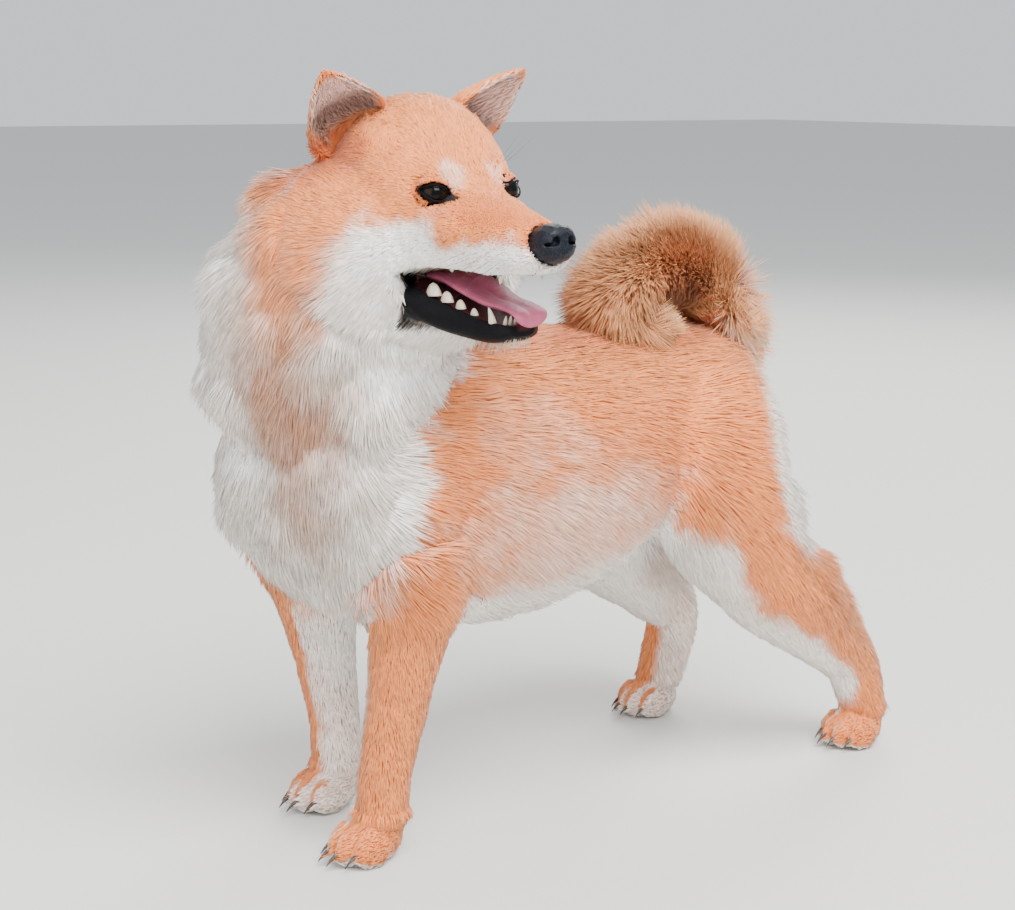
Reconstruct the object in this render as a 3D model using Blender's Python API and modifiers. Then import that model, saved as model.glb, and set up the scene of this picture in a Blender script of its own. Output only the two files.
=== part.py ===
"""Shiba inu as a life-size standing model: head turned to its left, mouth open, tail curled over the back.

Metres, +Z up. The body faces +X and the dog's left side faces +Y. The flesh is blended from smooth masses that
reach out to the coat's tips, and parted into head, neck, torso, legs and paws, with locks on the ruff and the
breeches. Ears, eyes, nose, lower jaw, tongue and the tail with its locks are forms of their own. At the end
everything is set on the floor, centred on the origin.
"""

from math import cos, pi, radians, sin
from random import Random
from typing import NamedTuple

import bmesh
import bpy
from mathutils import Matrix, Vector
from mathutils.bvhtree import BVHTree

# Driving sizes, in metres
WITHERS = 0.392
BACK = 0.377
GAP = 0.0003
DEEP_VOXEL, DEEP_PASSES = 0.0030, 16
FINE_VOXEL, FINE_PASSES = 0.0017, 6
HEAD_GRAIN = 5900
PAW_GRAIN = 4700
BODY_GRAIN = 3000
LOCK_SEED = 12
SHARP_EDGE = radians(50)
LEFT, RIGHT = 1, -1
UPRIGHT = Matrix.Identity(4)

# The turned head: x to the nose, y to the dog's left, z up, from the midpoint between the eyes
EYES_AT = Vector((-0.014, 0.126, 0.487))
HEAD_TURN, HEAD_LIFT, HEAD_TILT = radians(90), radians(4), radians(1)
HEAD = (
    Matrix.Translation(EYES_AT)
    @ Matrix.Rotation(HEAD_TURN, 4, "Z")
    @ Matrix.Rotation(-HEAD_LIFT, 4, "Y")
    @ Matrix.Rotation(HEAD_TILT, 4, "X")
)


class Section(NamedTuple):
    """A cross-section of a lofted form: where it is along x, half its width, its top and its bottom."""

    along: float
    half_width: float
    top: float
    bottom: float


class Joint(NamedTuple):
    """A point on a limb's axis and the limb's radius there."""

    x: float
    y: float
    z: float
    radius: float


class Finish(NamedTuple):
    """A material: its name, base colour and roughness."""

    name: str
    colour: tuple
    roughness: float


RED_COAT = Finish("red_coat", (0.60, 0.30, 0.14), 0.85)
PALE_COAT = Finish("pale_coat", (0.80, 0.70, 0.58), 0.85)
LIP_BLACK = Finish("lip_black", (0.02, 0.02, 0.022), 0.45)
TONGUE_PINK = Finish("tongue_pink", (0.55, 0.22, 0.27), 0.35)
NOSE_BLACK = Finish("nose_black", (0.02, 0.022, 0.028), 0.35)
EYE_BROWN = Finish("eye_brown", (0.03, 0.018, 0.012), 0.05)

TORSO = (
    Section(0.094, 0.040, 0.325, 0.268),
    Section(0.078, 0.068, 0.352, 0.232),
    Section(0.040, 0.092, 0.380, 0.182),
    Section(-0.030, 0.100, WITHERS, 0.155),
    Section(-0.120, 0.100, 0.383, 0.152),
    Section(-0.190, 0.093, BACK, 0.166),
    Section(-0.250, 0.082, BACK - 0.001, 0.196),
    Section(-0.300, 0.076, BACK - 0.003, 0.224),
    Section(-0.340, 0.066, 0.364, 0.248),
    Section(-0.366, 0.040, 0.338, 0.275),
)
NECK = (
    Joint(-0.010, 0.000, 0.315, 0.087),
    Joint(0.018, 0.000, 0.355, 0.091),
    Joint(0.027, 0.006, 0.400, 0.088),
    Joint(0.016, 0.030, 0.440, 0.080),
    Joint(-0.006, 0.062, 0.465, 0.066),
)
FORELEGS = {
    LEFT: (
        Joint(0.008, 0.062, 0.270, 0.048),
        Joint(-0.004, 0.066, 0.205, 0.037),
        Joint(0.003, 0.062, 0.140, 0.0265),
        Joint(0.012, 0.056, 0.075, 0.0215),
        Joint(0.016, 0.052, 0.030, 0.0205),
    ),
    RIGHT: (
        Joint(0.012, -0.064, 0.270, 0.050),
        Joint(-0.001, -0.072, 0.205, 0.043),
        Joint(-0.008, -0.068, 0.140, 0.0285),
        Joint(-0.013, -0.060, 0.075, 0.0215),
        Joint(-0.014, -0.056, 0.030, 0.0205),
    ),
}
HINDLEGS = {
    LEFT: (
        Joint(-0.302, 0.044, 0.290, 0.064),
        Joint(-0.308, 0.062, 0.225, 0.062),
        Joint(-0.346, 0.080, 0.165, 0.048),
        Joint(-0.402, 0.085, 0.115, 0.033),
        Joint(-0.444, 0.086, 0.076, 0.0235),
        Joint(-0.464, 0.087, 0.032, 0.0185),
    ),
    RIGHT: (
        Joint(-0.298, -0.044, 0.290, 0.064),
        Joint(-0.284, -0.062, 0.230, 0.060),
        Joint(-0.303, -0.078, 0.172, 0.045),
        Joint(-0.352, -0.081, 0.125, 0.031),
        Joint(-0.386, -0.081, 0.090, 0.0235),
        Joint(-0.374, -0.081, 0.034, 0.0185),
    ),
}
ANKLES = [legs[side][-1] for legs in (FORELEGS, HINDLEGS) for side in (LEFT, RIGHT)]
PAW_LENGTH, PAW_WIDTH, PAW_HEIGHT, PAW_CUT = 0.062, 0.046, 0.034, 0.040

# Where the flesh is parted: for a flat cut a point and the way that it faces
HEAD_CUT = (Vector((-0.072, 0, -0.020)), Vector((0.91, 0, 0.415)))
NECK_CUT = (Vector((0.02, 0, 0.345)), Vector((0.573, 0, 0.819)))
FLOOR_CUT = (Vector((0, 0, 0)), Vector((0, 0, -1)))

# The sleeve that cuts a leg off: its room round the leg, then how many times wider and how far outwards it lies
SLEEVE_ROOM = 0.012
FORELEG_SLEEVE = (1.05, 0.012)
HINDLEG_SLEEVE = (1.12, 0.016)

SKULL = (
    Section(-0.118, 0.036, 0.044, -0.040),
    Section(-0.098, 0.055, 0.063, -0.062),
    Section(-0.070, 0.063, 0.074, -0.074),
    Section(-0.042, 0.060, 0.069, -0.074),
    Section(-0.020, 0.051, 0.049, -0.068),
    Section(-0.004, 0.040, 0.026, -0.062),
    Section(0.012, 0.0330, 0.0090, -0.057),
    Section(0.030, 0.0295, 0.0005, -0.055),
    Section(0.050, 0.0262, -0.006, -0.054),
    Section(0.068, 0.0230, -0.0125, -0.053),
    Section(0.080, 0.0185, -0.017, -0.050),
    Section(0.088, 0.0105, -0.024, -0.044),
)
JAW = (
    Section(-0.042, 0.030, -0.0520, -0.073),
    Section(-0.032, 0.0410, -0.0525, -0.078),
    Section(-0.020, 0.0410, -0.0555, -0.083),
    Section(-0.006, 0.0355, -0.0620, -0.089),
    Section(0.010, 0.0285, -0.0695, -0.0925),
    Section(0.028, 0.0225, -0.0760, -0.0950),
    Section(0.040, 0.0175, -0.0795, -0.0935),
    Section(0.047, 0.0090, -0.0825, -0.0895),
)
GAPE = (
    Section(-0.044, 0.018, -0.0485, -0.0560),
    Section(-0.035, 0.034, -0.0475, -0.0580),
    Section(-0.026, 0.050, -0.0450, -0.0640),
    Section(-0.014, 0.068, -0.0435, -0.0820),
    Section(0.000, 0.080, -0.0445, -0.1080),
    Section(0.020, 0.080, -0.0475, -0.1180),
    Section(0.040, 0.080, -0.0500, -0.1180),
    Section(0.110, 0.080, -0.0500, -0.1180),
)
EYE_RADIUS = 0.0105
LID_RADIUS = 0.0123
EYE_OPENING = (0.0108, 0.0056)
EYE_PLACE = Vector((-0.0055, 0.0285, 0.0050))
EYE_LOOK, EYE_SLANT = radians(24), radians(16)
NOSE_PLACE = Vector((0.0835, 0, -0.0285))
NOSE_SIZE = Vector((0.0125, 0.0155, 0.0130))
TOOTH_ROOT = 0.003
EAR_BASE, EAR_TIP = Vector((-0.070, 0.047, 0.046)), Vector((-0.046, 0.082, 0.085))
EAR_WIDTH, EAR_THICK, EAR_RINGS = 0.033, 0.0062, 9

# The tail's bone line, in the plane that stands on the back, and the brush of locks on it
TAIL = (
    Joint(-0.346, 0.000, 0.338, 0.020),
    Joint(-0.358, 0.001, 0.366, 0.020),
    Joint(-0.340, 0.003, 0.399, 0.019),
    Joint(-0.302, 0.006, 0.416, 0.018),
    Joint(-0.262, 0.010, 0.411, 0.016),
    Joint(-0.236, 0.014, 0.394, 0.012),
    Joint(-0.242, 0.017, 0.382, 0.007),
)
TAIL_BRUSH = (0.028, 0.026, 0.025, 0.033, 0.036, 0.033, 0.026)
TAIL_GRAIN = 300
TAIL_CORE = 0.42
TAIL_ROWS, TAIL_ROUND = 8, 6
TAIL_ROOT, TAIL_LOCK_THICK = 0.008, 0.0070

# A tail lock's four stations: how far from the core to the tip, how far leant to the tail's end, how wide
TAIL_LOCK_STATIONS = ((0.0, 0.0, 0.75), (0.25, 0.35, 1.00), (0.68, 0.75, 0.78), (1.0, 1.3, 0.12))

# The point that the tail curls round, and the angles round it between which each part of the tail lies
TAIL_EYE = Vector((-0.298, 0.010, 0.393))
TAIL_PARTS = (("tail_base", 152, 262), ("tail_middle", 62, 152), ("tail_tip", -98, 62))

# A lock's four stations: how far along, how far off the surface, how wide
LOCK_STATIONS = ((0.0, -1.3, 0.60), (0.34, 0.35, 1.00), (0.70, 0.85, 0.72), (1.0, 0.95, 0.10))

# The tongue's line in the head's frame, from its root to where it hangs over the jaw
TONGUE = (
    Joint(-0.036, 0.000, -0.0520, 0.0150),
    Joint(-0.018, 0.000, -0.0535, 0.0155),
    Joint(0.004, 0.001, -0.0600, 0.0150),
    Joint(0.024, 0.002, -0.0675, 0.0130),
    Joint(0.040, 0.003, -0.0715, 0.0120),
    Joint(0.051, 0.004, -0.0765, 0.0115),
    Joint(0.0545, 0.005, -0.0840, 0.0100),
)


def clear_scene():
    """Removes whatever the startup file holds."""
    for thing in list(bpy.data.objects):
        bpy.data.objects.remove(thing)


def collection(name, shown=False):
    """A new collection in the scene; helpers' collections are left out of renders."""
    made = bpy.data.collections.new(name)
    bpy.context.scene.collection.children.link(made)
    made.hide_render = not shown
    return made


def shown_as_wire(made, home):
    """Shows an object as wire if its collection is one of helpers, and as a solid otherwise."""
    made.display_type = "WIRE" if home.hide_render else "TEXTURED"


def finished(name, bm, home):
    """An object from a bmesh, with its faces turned outwards."""
    bmesh.ops.recalc_face_normals(bm, faces=bm.faces)
    mesh = bpy.data.meshes.new(name)
    bm.to_mesh(mesh)
    bm.free()
    made = bpy.data.objects.new(name, mesh)
    home.objects.link(made)
    shown_as_wire(made, home)
    return made


def copy_of(source, name, home):
    """A second object with its own copy of the mesh."""
    made = bpy.data.objects.new(name, source.data.copy())
    home.objects.link(made)
    shown_as_wire(made, home)
    return made


def applied(target):
    """Puts the result of the object's modifiers into its mesh."""
    graph = bpy.context.evaluated_depsgraph_get()
    before = target.data
    target.data = bpy.data.meshes.new_from_object(target.evaluated_get(graph))
    target.modifiers.clear()
    bpy.data.meshes.remove(before)
    return target


def boolean(target, other, operation, solver="EXACT"):
    """Cuts or joins the target with an object, which is then removed."""
    modifier = target.modifiers.new(operation.lower(), "BOOLEAN")
    modifier.operation, modifier.object, modifier.solver = operation, other, solver
    applied(target)
    bpy.data.objects.remove(other)
    return target


def join_all(target, pieces):
    """Joins every object of a collection to the target in one union, and removes them."""
    modifier = target.modifiers.new("join", "BOOLEAN")
    modifier.operation, modifier.operand_type, modifier.collection = "UNION", "COLLECTION", pieces
    modifier.solver = "MANIFOLD"
    applied(target)
    for piece in list(pieces.objects):
        bpy.data.objects.remove(piece)
    bpy.data.collections.remove(pieces)
    return target


def eased(stations, samples):
    """Rows of values read from a smooth curve through the stations (Catmull-Rom)."""
    rows = [Vector(row) for row in stations]
    rows = [2 * rows[0] - rows[1], *rows, 2 * rows[-1] - rows[-2]]
    spans = len(rows) - 3
    out = []
    for step in range(samples):
        at = spans * step / (samples - 1)
        i = min(int(at), spans - 1)
        t = at - i
        a, b, c, d = rows[i : i + 4]
        square, cube = 2 * a - 5 * b + 4 * c - d, 3 * b - a - 3 * c + d
        out.append(0.5 * (2 * b + (c - a) * t + square * t**2 + cube * t**3))
    return out


def skin_rings(bm, rings):
    """Joins rings of points into a closed skin with a flat cap at each end."""
    made = [[bm.verts.new(p) for p in ring] for ring in rings]
    count = len(made[0])
    for lower, upper in zip(made, made[1:]):
        for i in range(count):
            j = (i + 1) % count
            bm.faces.new((lower[i], lower[j], upper[j], upper[i]))
    bm.faces.new(list(reversed(made[0])))
    bm.faces.new(made[-1])


def lofted(name, sections, home, frame=UPRIGHT, square=2.3, samples=40, sides=28, grow=0.0):
    """A form along x through rounded-box sections, read smoothly between them."""
    bm = bmesh.new()
    rows = eased(sections, samples)
    rows[0].x -= grow
    rows[-1].x += grow
    rings = []
    for along, half_width, top, bottom in rows:
        middle, half = (top + bottom) / 2, (top - bottom) / 2 + grow
        ring = []
        for i in range(sides):
            angle = 2 * pi * (i + 0.5) / sides
            c, s = cos(angle), sin(angle)
            y = (half_width + grow) * abs(c) ** (2 / square) * (1 if c > 0 else -1)
            z = half * abs(s) ** (2 / square) * (1 if s > 0 else -1)
            ring.append(frame @ Vector((along, y, middle + z)))
        rings.append(ring)
    skin_rings(bm, rings)
    return finished(name, bm, home)


def tube(name, joints, home, frame=UPRIGHT, samples=16, sides=16, grow=0.0, flat=1.0):
    """A limb: a tube along a smooth path with round ends; flat below 1 thins it across its first direction."""
    rows = eased(joints, samples)
    points, sizes = [row.to_3d() for row in rows], [row[3] + grow for row in rows]
    bm = bmesh.new()
    rings = []
    across = Vector((0, 1, 0))
    for i, (point, size) in enumerate(zip(points, sizes)):
        ahead = (points[min(i + 1, samples - 1)] - points[max(i - 1, 0)]).normalized()
        across = (across - across.dot(ahead) * ahead).normalized()
        other = ahead.cross(across)
        steps = [(0, 1)]
        if i == 0:
            steps = [(-sin(a), cos(a)) for a in (radians(75), radians(40))] + steps
        if i == samples - 1:
            steps += [(sin(a), cos(a)) for a in (radians(40), radians(75))]
        for shift, scale in steps:
            centre = point + ahead * size * shift
            ring = []
            for k in range(sides):
                angle = 2 * pi * k / sides
                way = cos(angle) * across + flat * sin(angle) * other
                ring.append(frame @ (centre + size * scale * way))
            rings.append(ring)
    skin_rings(bm, rings)
    return finished(name, bm, home)


def mass(name, centre, radii, home, frame=UPRIGHT, turn=(0, 0, 0), detail=3, grow=0.0):
    """An egg-shaped mass; turn is about x, y and z in degrees."""
    bm = bmesh.new()
    bmesh.ops.create_icosphere(bm, subdivisions=detail, radius=1)
    spin = Matrix.Identity(4)
    for angle, axis in zip(turn, "XYZ"):
        spin = Matrix.Rotation(radians(angle), 4, axis) @ spin
    sizes = [radius + grow for radius in radii]
    place = frame @ Matrix.Translation(centre) @ spin @ Matrix.Diagonal((*sizes, 1))
    bmesh.ops.transform(bm, matrix=place, verts=bm.verts)
    return finished(name, bm, home)


def beyond(point, normal, home, frame=UPRIGHT, grow=0.0, reach=0.8):
    """A large block on one side of a plane: the side that the normal points to."""
    bm = bmesh.new()
    bmesh.ops.create_cube(bm, size=reach)
    normal = normal.normalized()
    turn = normal.to_track_quat("Z", "Y").to_matrix().to_4x4()
    place = frame @ Matrix.Translation(point + normal * (reach / 2 - grow)) @ turn
    bmesh.ops.transform(bm, matrix=place, verts=bm.verts)
    return finished("beyond", bm, home)


def blade(points, outward, shares, width, thick, home):
    """One lock: a flat, three-sided blade that tapers to its tip along a bent path."""
    bm = bmesh.new()
    rings = []
    last = len(points) - 1
    for i, (point, share) in enumerate(zip(points, shares)):
        ahead = (points[min(i + 1, last)] - points[max(i - 1, 0)]).normalized()
        across = ahead.cross(outward[i]).normalized() * (width * share / 2)
        up = across.cross(ahead).normalized() * (thick * share / 2)
        rings.append([point + across - up, point + up, point - across - up])
    skin_rings(bm, rings)
    return finished("lock", bm, home)


def laid_lock(surface, root, lie, length, width, rise, home):
    """A lock that follows a surface, its root sunk in it and its tip lifted."""
    points, outward = [], []
    for along, lift, _ in LOCK_STATIONS:
        spot, normal, _, _ = surface.find_nearest(root + lie * (length * along))
        points.append(spot + normal * (lift * rise))
        outward.append(normal)
    return blade(points, outward, [share for _, _, share in LOCK_STATIONS], width, 0.20 * width, home)


def rooted(surface, joints, rows, angles, flow, draw):
    """Places round a limb for its locks: each point of the surface, and the lie of the coat there."""
    line = eased(joints, 21)
    for row, share in enumerate(rows):
        i = round(20 * share)
        centre, ahead = line[i].to_3d(), (line[i + 1] - line[i - 1]).to_3d().normalized()
        across = Vector((0, 1, 0))
        across = (across - across.dot(ahead) * ahead).normalized()
        other = ahead.cross(across)
        half = (angles[1] - angles[0]) / 2
        for angle in angles:
            turn = radians(angle + half * (row % 2) + draw.uniform(-5, 5))
            spot, normal, _, _ = surface.ray_cast(centre, cos(turn) * across + sin(turn) * other)
            lie = ahead * flow[0] + Vector(flow[1:])
            lie += Vector([draw.uniform(-0.15, 0.15) for _ in range(3)])
            yield spot, (lie - lie.dot(normal) * normal).normalized()


def with_locks(flesh, plan, draw):
    """Joins locks to the flesh; a line of the plan has limb, rows, angles, flow, length, width and rise."""
    surface = BVHTree.FromObject(flesh, bpy.context.evaluated_depsgraph_get())
    locks = collection("locks")
    for joints, rows, angles, flow, length, width, rise in plan:
        for root, lie in rooted(surface, joints, rows, angles, flow, draw):
            size = draw.uniform(0.88, 1.12)
            laid_lock(surface, root, lie, length * size, width * size, rise, locks)
    return join_all(flesh, locks)


def torso_masses(home):
    """Barrel, shoulders, haunches and the neck."""
    lofted("torso", TORSO, home)
    tube("neck", NECK, home)
    mass("breast", (0.048, 0, 0.268), (0.052, 0.068, 0.075), home, turn=(0, 20, 0))
    for side in (LEFT, RIGHT):
        mass("shoulder", (0.008, side * 0.056, 0.285), (0.056, 0.043, 0.086), home, turn=(0, 18, 0))
        mass("haunch", (-0.304, side * 0.047, 0.268), (0.072, 0.042, 0.086), home, turn=(0, -14, 0))


def leg_masses(home):
    """The four legs, each with the pad of its paw."""
    for joints in (*FORELEGS.values(), *HINDLEGS.values()):
        tube("leg", joints, home)
    for ankle in ANKLES:
        pad = Vector((ankle.x + PAW_LENGTH * 0.14, ankle.y, PAW_HEIGHT * 0.42))
        mass("paw", pad, (PAW_LENGTH * 0.42, PAW_WIDTH * 0.43, PAW_HEIGHT * 0.56), home)


def toe_masses(at, home):
    """Four arched toes, each with its claw."""
    front = PAW_LENGTH * 0.28
    for i, reach in zip((-1.5, -0.5, 0.5, 1.5), (0.0, 0.009, 0.009, 0.0)):
        toe = at + Vector((front + reach, i * PAW_WIDTH * 0.245, PAW_HEIGHT * 0.38))
        mass("toe", toe, (PAW_LENGTH * 0.26, PAW_WIDTH * 0.150, PAW_HEIGHT * 0.44), home, detail=2)
        tip = toe + Vector((PAW_LENGTH * 0.26, 0, -PAW_HEIGHT * 0.12))
        mass("claw", tip, (0.0070, 0.0024, 0.0032), home, turn=(0, 25, 0), detail=2)


def mirrored(point, side):
    """A point of the left half of the head, on the side asked for."""
    return Vector((point.x, side * point.y, point.z))


def ear_axes(side):
    """The ear's base, its up direction, the direction its cup faces, and the one across."""
    base, tip = mirrored(EAR_BASE, side), mirrored(EAR_TIP, side)
    up = (tip - base).normalized()
    facing = Vector((1.0, side * 0.62, 0.0))
    facing = (facing - facing.dot(up) * up).normalized()
    return base, up, facing, up.cross(facing), (tip - base).length


def ear_shell(name, side, home):
    """An erect, cupped ear: crescent sections with a soft rim, narrow at the root and rounded at the tip."""
    base, up, facing, across, height = ear_axes(side)
    bm = bmesh.new()
    rings = []
    for step in range(EAR_RINGS):
        u = sin(pi / 2 * step / (EAR_RINGS - 1))
        root = 0.72 + 0.28 * min(u / 0.35, 1)
        width = EAR_WIDTH * (1 - u**1.7) ** 0.85 * root + 0.0016
        depth = width * (0.62 - 0.25 * u)
        wall = min(EAR_THICK, 1.4 * width)
        middle = base + up * (height * (1.24 * u - 0.22)) - facing * 0.004
        angles = [radians(-86 + 172 * k / 6) for k in range(7)]
        outer = [middle + across * width * sin(a) - facing * depth * cos(a) for a in angles]
        hollow = width - 0.3 * wall
        inner = [middle + across * hollow * sin(a) - facing * (depth * cos(a) - wall) for a in angles]
        bulge = across * (0.22 * wall)
        rims = [(outer[-1] + inner[-1]) / 2 + bulge, (outer[0] + inner[0]) / 2 - bulge]
        rings.append([HEAD @ point for point in (*outer, rims[0], *reversed(inner), rims[1])])
    skin_rings(bm, rings)
    return finished(name, bm, home)


def head_masses(home):
    """Skull and upper muzzle, cheeks, throat, brows and lips."""
    lofted("skull", SKULL, home, frame=HEAD, square=2.2)
    mass("throat", (-0.056, 0, -0.068), (0.046, 0.048, 0.040), home, HEAD)
    for side in (LEFT, RIGHT):
        mass("cheek", (-0.067, side * 0.038, -0.045), (0.043, 0.034, 0.046), home, HEAD)
        mass("brow", (-0.018, side * 0.022, 0.016), (0.022, 0.016, 0.016), home, HEAD)
        mass("cheekbone", (-0.010, side * 0.026, -0.018), (0.036, 0.018, 0.022), home, HEAD)
        mass("lip", (0.044, side * 0.0150, -0.038), (0.040, 0.0135, 0.0150), home, HEAD)


def fine_masses(home):
    """What would be lost in a deep blend: lids, toes and claws."""
    for side in (LEFT, RIGHT):
        mass("lid", mirrored(EYE_PLACE, side), [LID_RADIUS] * 3, home, HEAD)
    for ankle in ANKLES:
        toe_masses(Vector((ankle.x, ankle.y, 0)), home)


def joined(masses, name, home):
    """All the masses in one object, still crossing each other."""
    bm = bmesh.new()
    for piece in masses.objects:
        bm.from_mesh(piece.data)
    return finished(name, bm, home)


def blended(made, voxel, passes):
    """One smooth skin over an object whose shells cross."""
    remesh = made.modifiers.new("blend", "REMESH")
    remesh.mode, remesh.voxel_size = "VOXEL", voxel
    smooth = made.modifiers.new("smooth", "SMOOTH")
    smooth.factor, smooth.iterations = 0.5, passes
    return applied(made)


def thinned(source, name, faces, home):
    """A copy of the skin with about so many triangles."""
    made = copy_of(source, name, home)
    thin = made.modifiers.new("thin", "DECIMATE")
    thin.ratio = faces / (2 * len(made.data.polygons))
    return applied(made)


def keep_largest(node):
    """Drops all but the largest closed surface of the node."""
    bm = bmesh.new()
    bm.from_mesh(node.data)
    left, shells = set(bm.verts), []
    while left:
        shell, edge = set(), [left.pop()]
        while edge:
            vert = edge.pop()
            shell.add(vert)
            for link in vert.link_edges:
                other = link.other_vert(vert)
                if other in left:
                    left.remove(other)
                    edge.append(other)
        shells.append(shell)
    shells.sort(key=len)
    for shell in shells[:-1]:
        bmesh.ops.delete(bm, geom=list(shell), context="VERTS")
    bm.to_mesh(node.data)
    bm.free()
    return node


def part_off(rest, name, volume, home):
    """Takes the part of the flesh inside a volume as a node of its own, and leaves a gap where it was cut."""
    piece = boolean(copy_of(rest, name, home), volume(0.0), "INTERSECT", "MANIFOLD")
    boolean(rest, volume(GAP), "DIFFERENCE", "MANIFOLD")
    return keep_largest(piece)


def eye_frame(side):
    """The eye's own frame: x looks out, y runs along the slit, z is up the lids."""
    return (
        HEAD
        @ Matrix.Translation(mirrored(EYE_PLACE, side))
        @ Matrix.Rotation(side * EYE_LOOK, 4, "Z")
        @ Matrix.Rotation(side * EYE_SLANT, 4, "X")
    )


def slit(side, home):
    """The almond opening between the lids, as a cutter that runs out from the eye."""
    length, height = EYE_OPENING
    bm = bmesh.new()
    rings = []
    for along, wide in ((0.002, 1.0), (0.030, 1.25)):
        ring = []
        for k in range(16):
            angle = 2 * pi * k / 16
            y, z = cos(angle), sin(angle)
            over = height * wide * z * (1 - 0.45 * y * y)
            ring.append(eye_frame(side) @ Vector((along, length * wide * y, over)))
        rings.append(ring)
    skin_rings(bm, rings)
    return finished("slit", bm, home)


def eye_ball(name, side, home, grow=0.0):
    """The eyeball, and with some growth the socket for it."""
    return mass(name, (0, 0, 0), [EYE_RADIUS] * 3, home, eye_frame(side), detail=3, grow=grow)


def nose_block(name, home, grow=0.0):
    """The nose leather: a rounded block, wider above than below."""
    sections = (
        Section(-0.016, 0.0100, 0.006, -0.010),
        Section(-0.008, 0.0140, 0.0105, -0.013),
        Section(0.002, 0.0150, 0.0120, -0.0145),
        Section(0.009, 0.0128, 0.0105, -0.0125),
        Section(0.0125, 0.0070, 0.0060, -0.0080),
    )
    frame = HEAD @ Matrix.Translation(NOSE_PLACE)
    return lofted(name, sections, home, frame=frame, square=2.1, samples=7, sides=14, grow=grow)


def nose(home):
    """The nose with its two nostrils and the slits at their sides."""
    made = nose_block("nose", home)
    for side in (LEFT, RIGHT):
        front = NOSE_PLACE + Vector((0.013, side * 0.0062, 0.0005))
        mass("nostril", front, (0.0060, 0.0030, 0.0036), home, HEAD, turn=(0, 0, side * 18), detail=2)
        boolean(made, bpy.data.objects["nostril"], "DIFFERENCE")
        wing = NOSE_PLACE + Vector((0.0100, side * 0.0102, -0.0016))
        mass("wing", wing, (0.0062, 0.0052, 0.0013), home, HEAD, turn=(0, 0, side * 35), detail=2)
        boolean(made, bpy.data.objects["wing"], "DIFFERENCE")
    return keep_largest(made)


def tooth(home, at, height, radius, lean=(0, 0, 1), broad=1.0):
    """A tooth: a rounded cone from its root, leaning as told, and broader along the jaw where asked."""
    bm = bmesh.new()
    bmesh.ops.create_cone(bm, cap_ends=True, segments=6, radius1=radius, radius2=radius * 0.3, depth=height)
    turn = Vector(lean).to_track_quat("Z", "Y").to_matrix().to_4x4()
    stood = Matrix.Diagonal((broad, 1, 1, 1)) @ turn @ Matrix.Translation((0, 0, height / 2 - TOOTH_ROOT))
    bmesh.ops.transform(bm, matrix=HEAD @ Matrix.Translation(Vector(at)) @ stood, verts=bm.verts)
    return finished("tooth", bm, home)


def lower_teeth(home):
    """Canines, incisors and cheek teeth of the lower jaw, both sides."""
    teeth = collection("lower_teeth")
    for side in (LEFT, RIGHT):
        tooth(teeth, (0.0355, side * 0.0140, -0.0790), 0.0130, 0.0030, (0.15, side * 0.22, 1))
        for i in range(3):
            place = (0.0425 - 0.0009 * i, side * (0.0018 + 0.0034 * i), -0.0800)
            tooth(teeth, place, 0.0068, 0.0018, (0.3, 0, 1))
        for i in range(4):
            along = 0.019 - 0.0105 * i
            size = 1 + 0.30 * i
            place = (along, side * (0.0195 + 0.0032 * i), -0.0725 + 0.0044 * i)
            tooth(teeth, place, 0.0052 * size + 0.0015, 0.0026 * size, broad=1.45)
    return teeth


def upper_teeth(home):
    """Canines and cheek teeth of the upper jaw, whose tips show under the lips."""
    teeth = collection("upper_teeth")
    for side in (LEFT, RIGHT):
        tooth(teeth, (0.051, side * 0.0170, -0.0440), 0.0135, 0.0029, (-0.1, side * 0.1, -1))
        for i in range(3):
            place = (0.030 - 0.014 * i, side * (0.018 + 0.0022 * i), -0.0435)
            tooth(teeth, place, 0.0078, 0.0030, (0, 0, -1))
    return teeth


def tongue(name, home, grow=0.0):
    """The tongue: a flat tube that lies along the jaw and hangs over its front."""
    return tube(name, TONGUE, home, HEAD, samples=9, sides=10, grow=grow, flat=0.24)


def gape(home):
    """The open mouth: between the upper lip line and the lower jaw, closing at the corners."""
    return lofted("gape", GAPE, home, HEAD, square=7, samples=15, sides=32)


def palate(home):
    """The hollow of the upper jaw between the rows of teeth."""
    return mass("palate", (0.016, 0, -0.047), (0.050, 0.0125, 0.007), home, HEAD)


def head_side(home, grow=0.0):
    """The head's side of the cut that runs from behind the ears to the throat."""
    return beyond(*HEAD_CUT, home, HEAD, grow)


def head_node(fine, home):
    """Head, and the ears set on it: sockets, lids, open mouth, and room for the nose and the lower jaw."""
    made = part_off(fine, "head", lambda grow: head_side(home, grow), home)
    for side, name in ((LEFT, "ear_left"), (RIGHT, "ear_right")):
        clear_of(ear_shell(name, side, home), made, home)
    for side in (LEFT, RIGHT):
        boolean(made, slit(side, home), "DIFFERENCE")
        boolean(made, eye_ball("socket", side, home, GAP), "DIFFERENCE")
    boolean(made, nose_block("seat", home, GAP), "DIFFERENCE")
    boolean(made, gape(home), "DIFFERENCE")
    boolean(made, palate(home), "DIFFERENCE")
    join_all(made, upper_teeth(home))
    return made


def jaw_node(head, home):
    """Lower jaw with its teeth, set into the cheeks, with the tongue laid in it."""
    boolean(head, lofted("room", JAW, home, HEAD, samples=12, sides=16, grow=GAP), "DIFFERENCE")
    boolean(head, tongue("room", home, GAP), "DIFFERENCE")
    made = lofted("lower_jaw", JAW, home, HEAD, samples=12, sides=16)
    trough = mass("trough", (-0.004, 0, -0.0600), (0.046, 0.0125, 0.0095), home, HEAD, turn=(0, 18, 0))
    boolean(made, trough, "DIFFERENCE")
    join_all(made, lower_teeth(home))
    boolean(made, tongue("room", home, GAP), "DIFFERENCE")
    tongue("tongue", home)
    return keep_largest(made)


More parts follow.
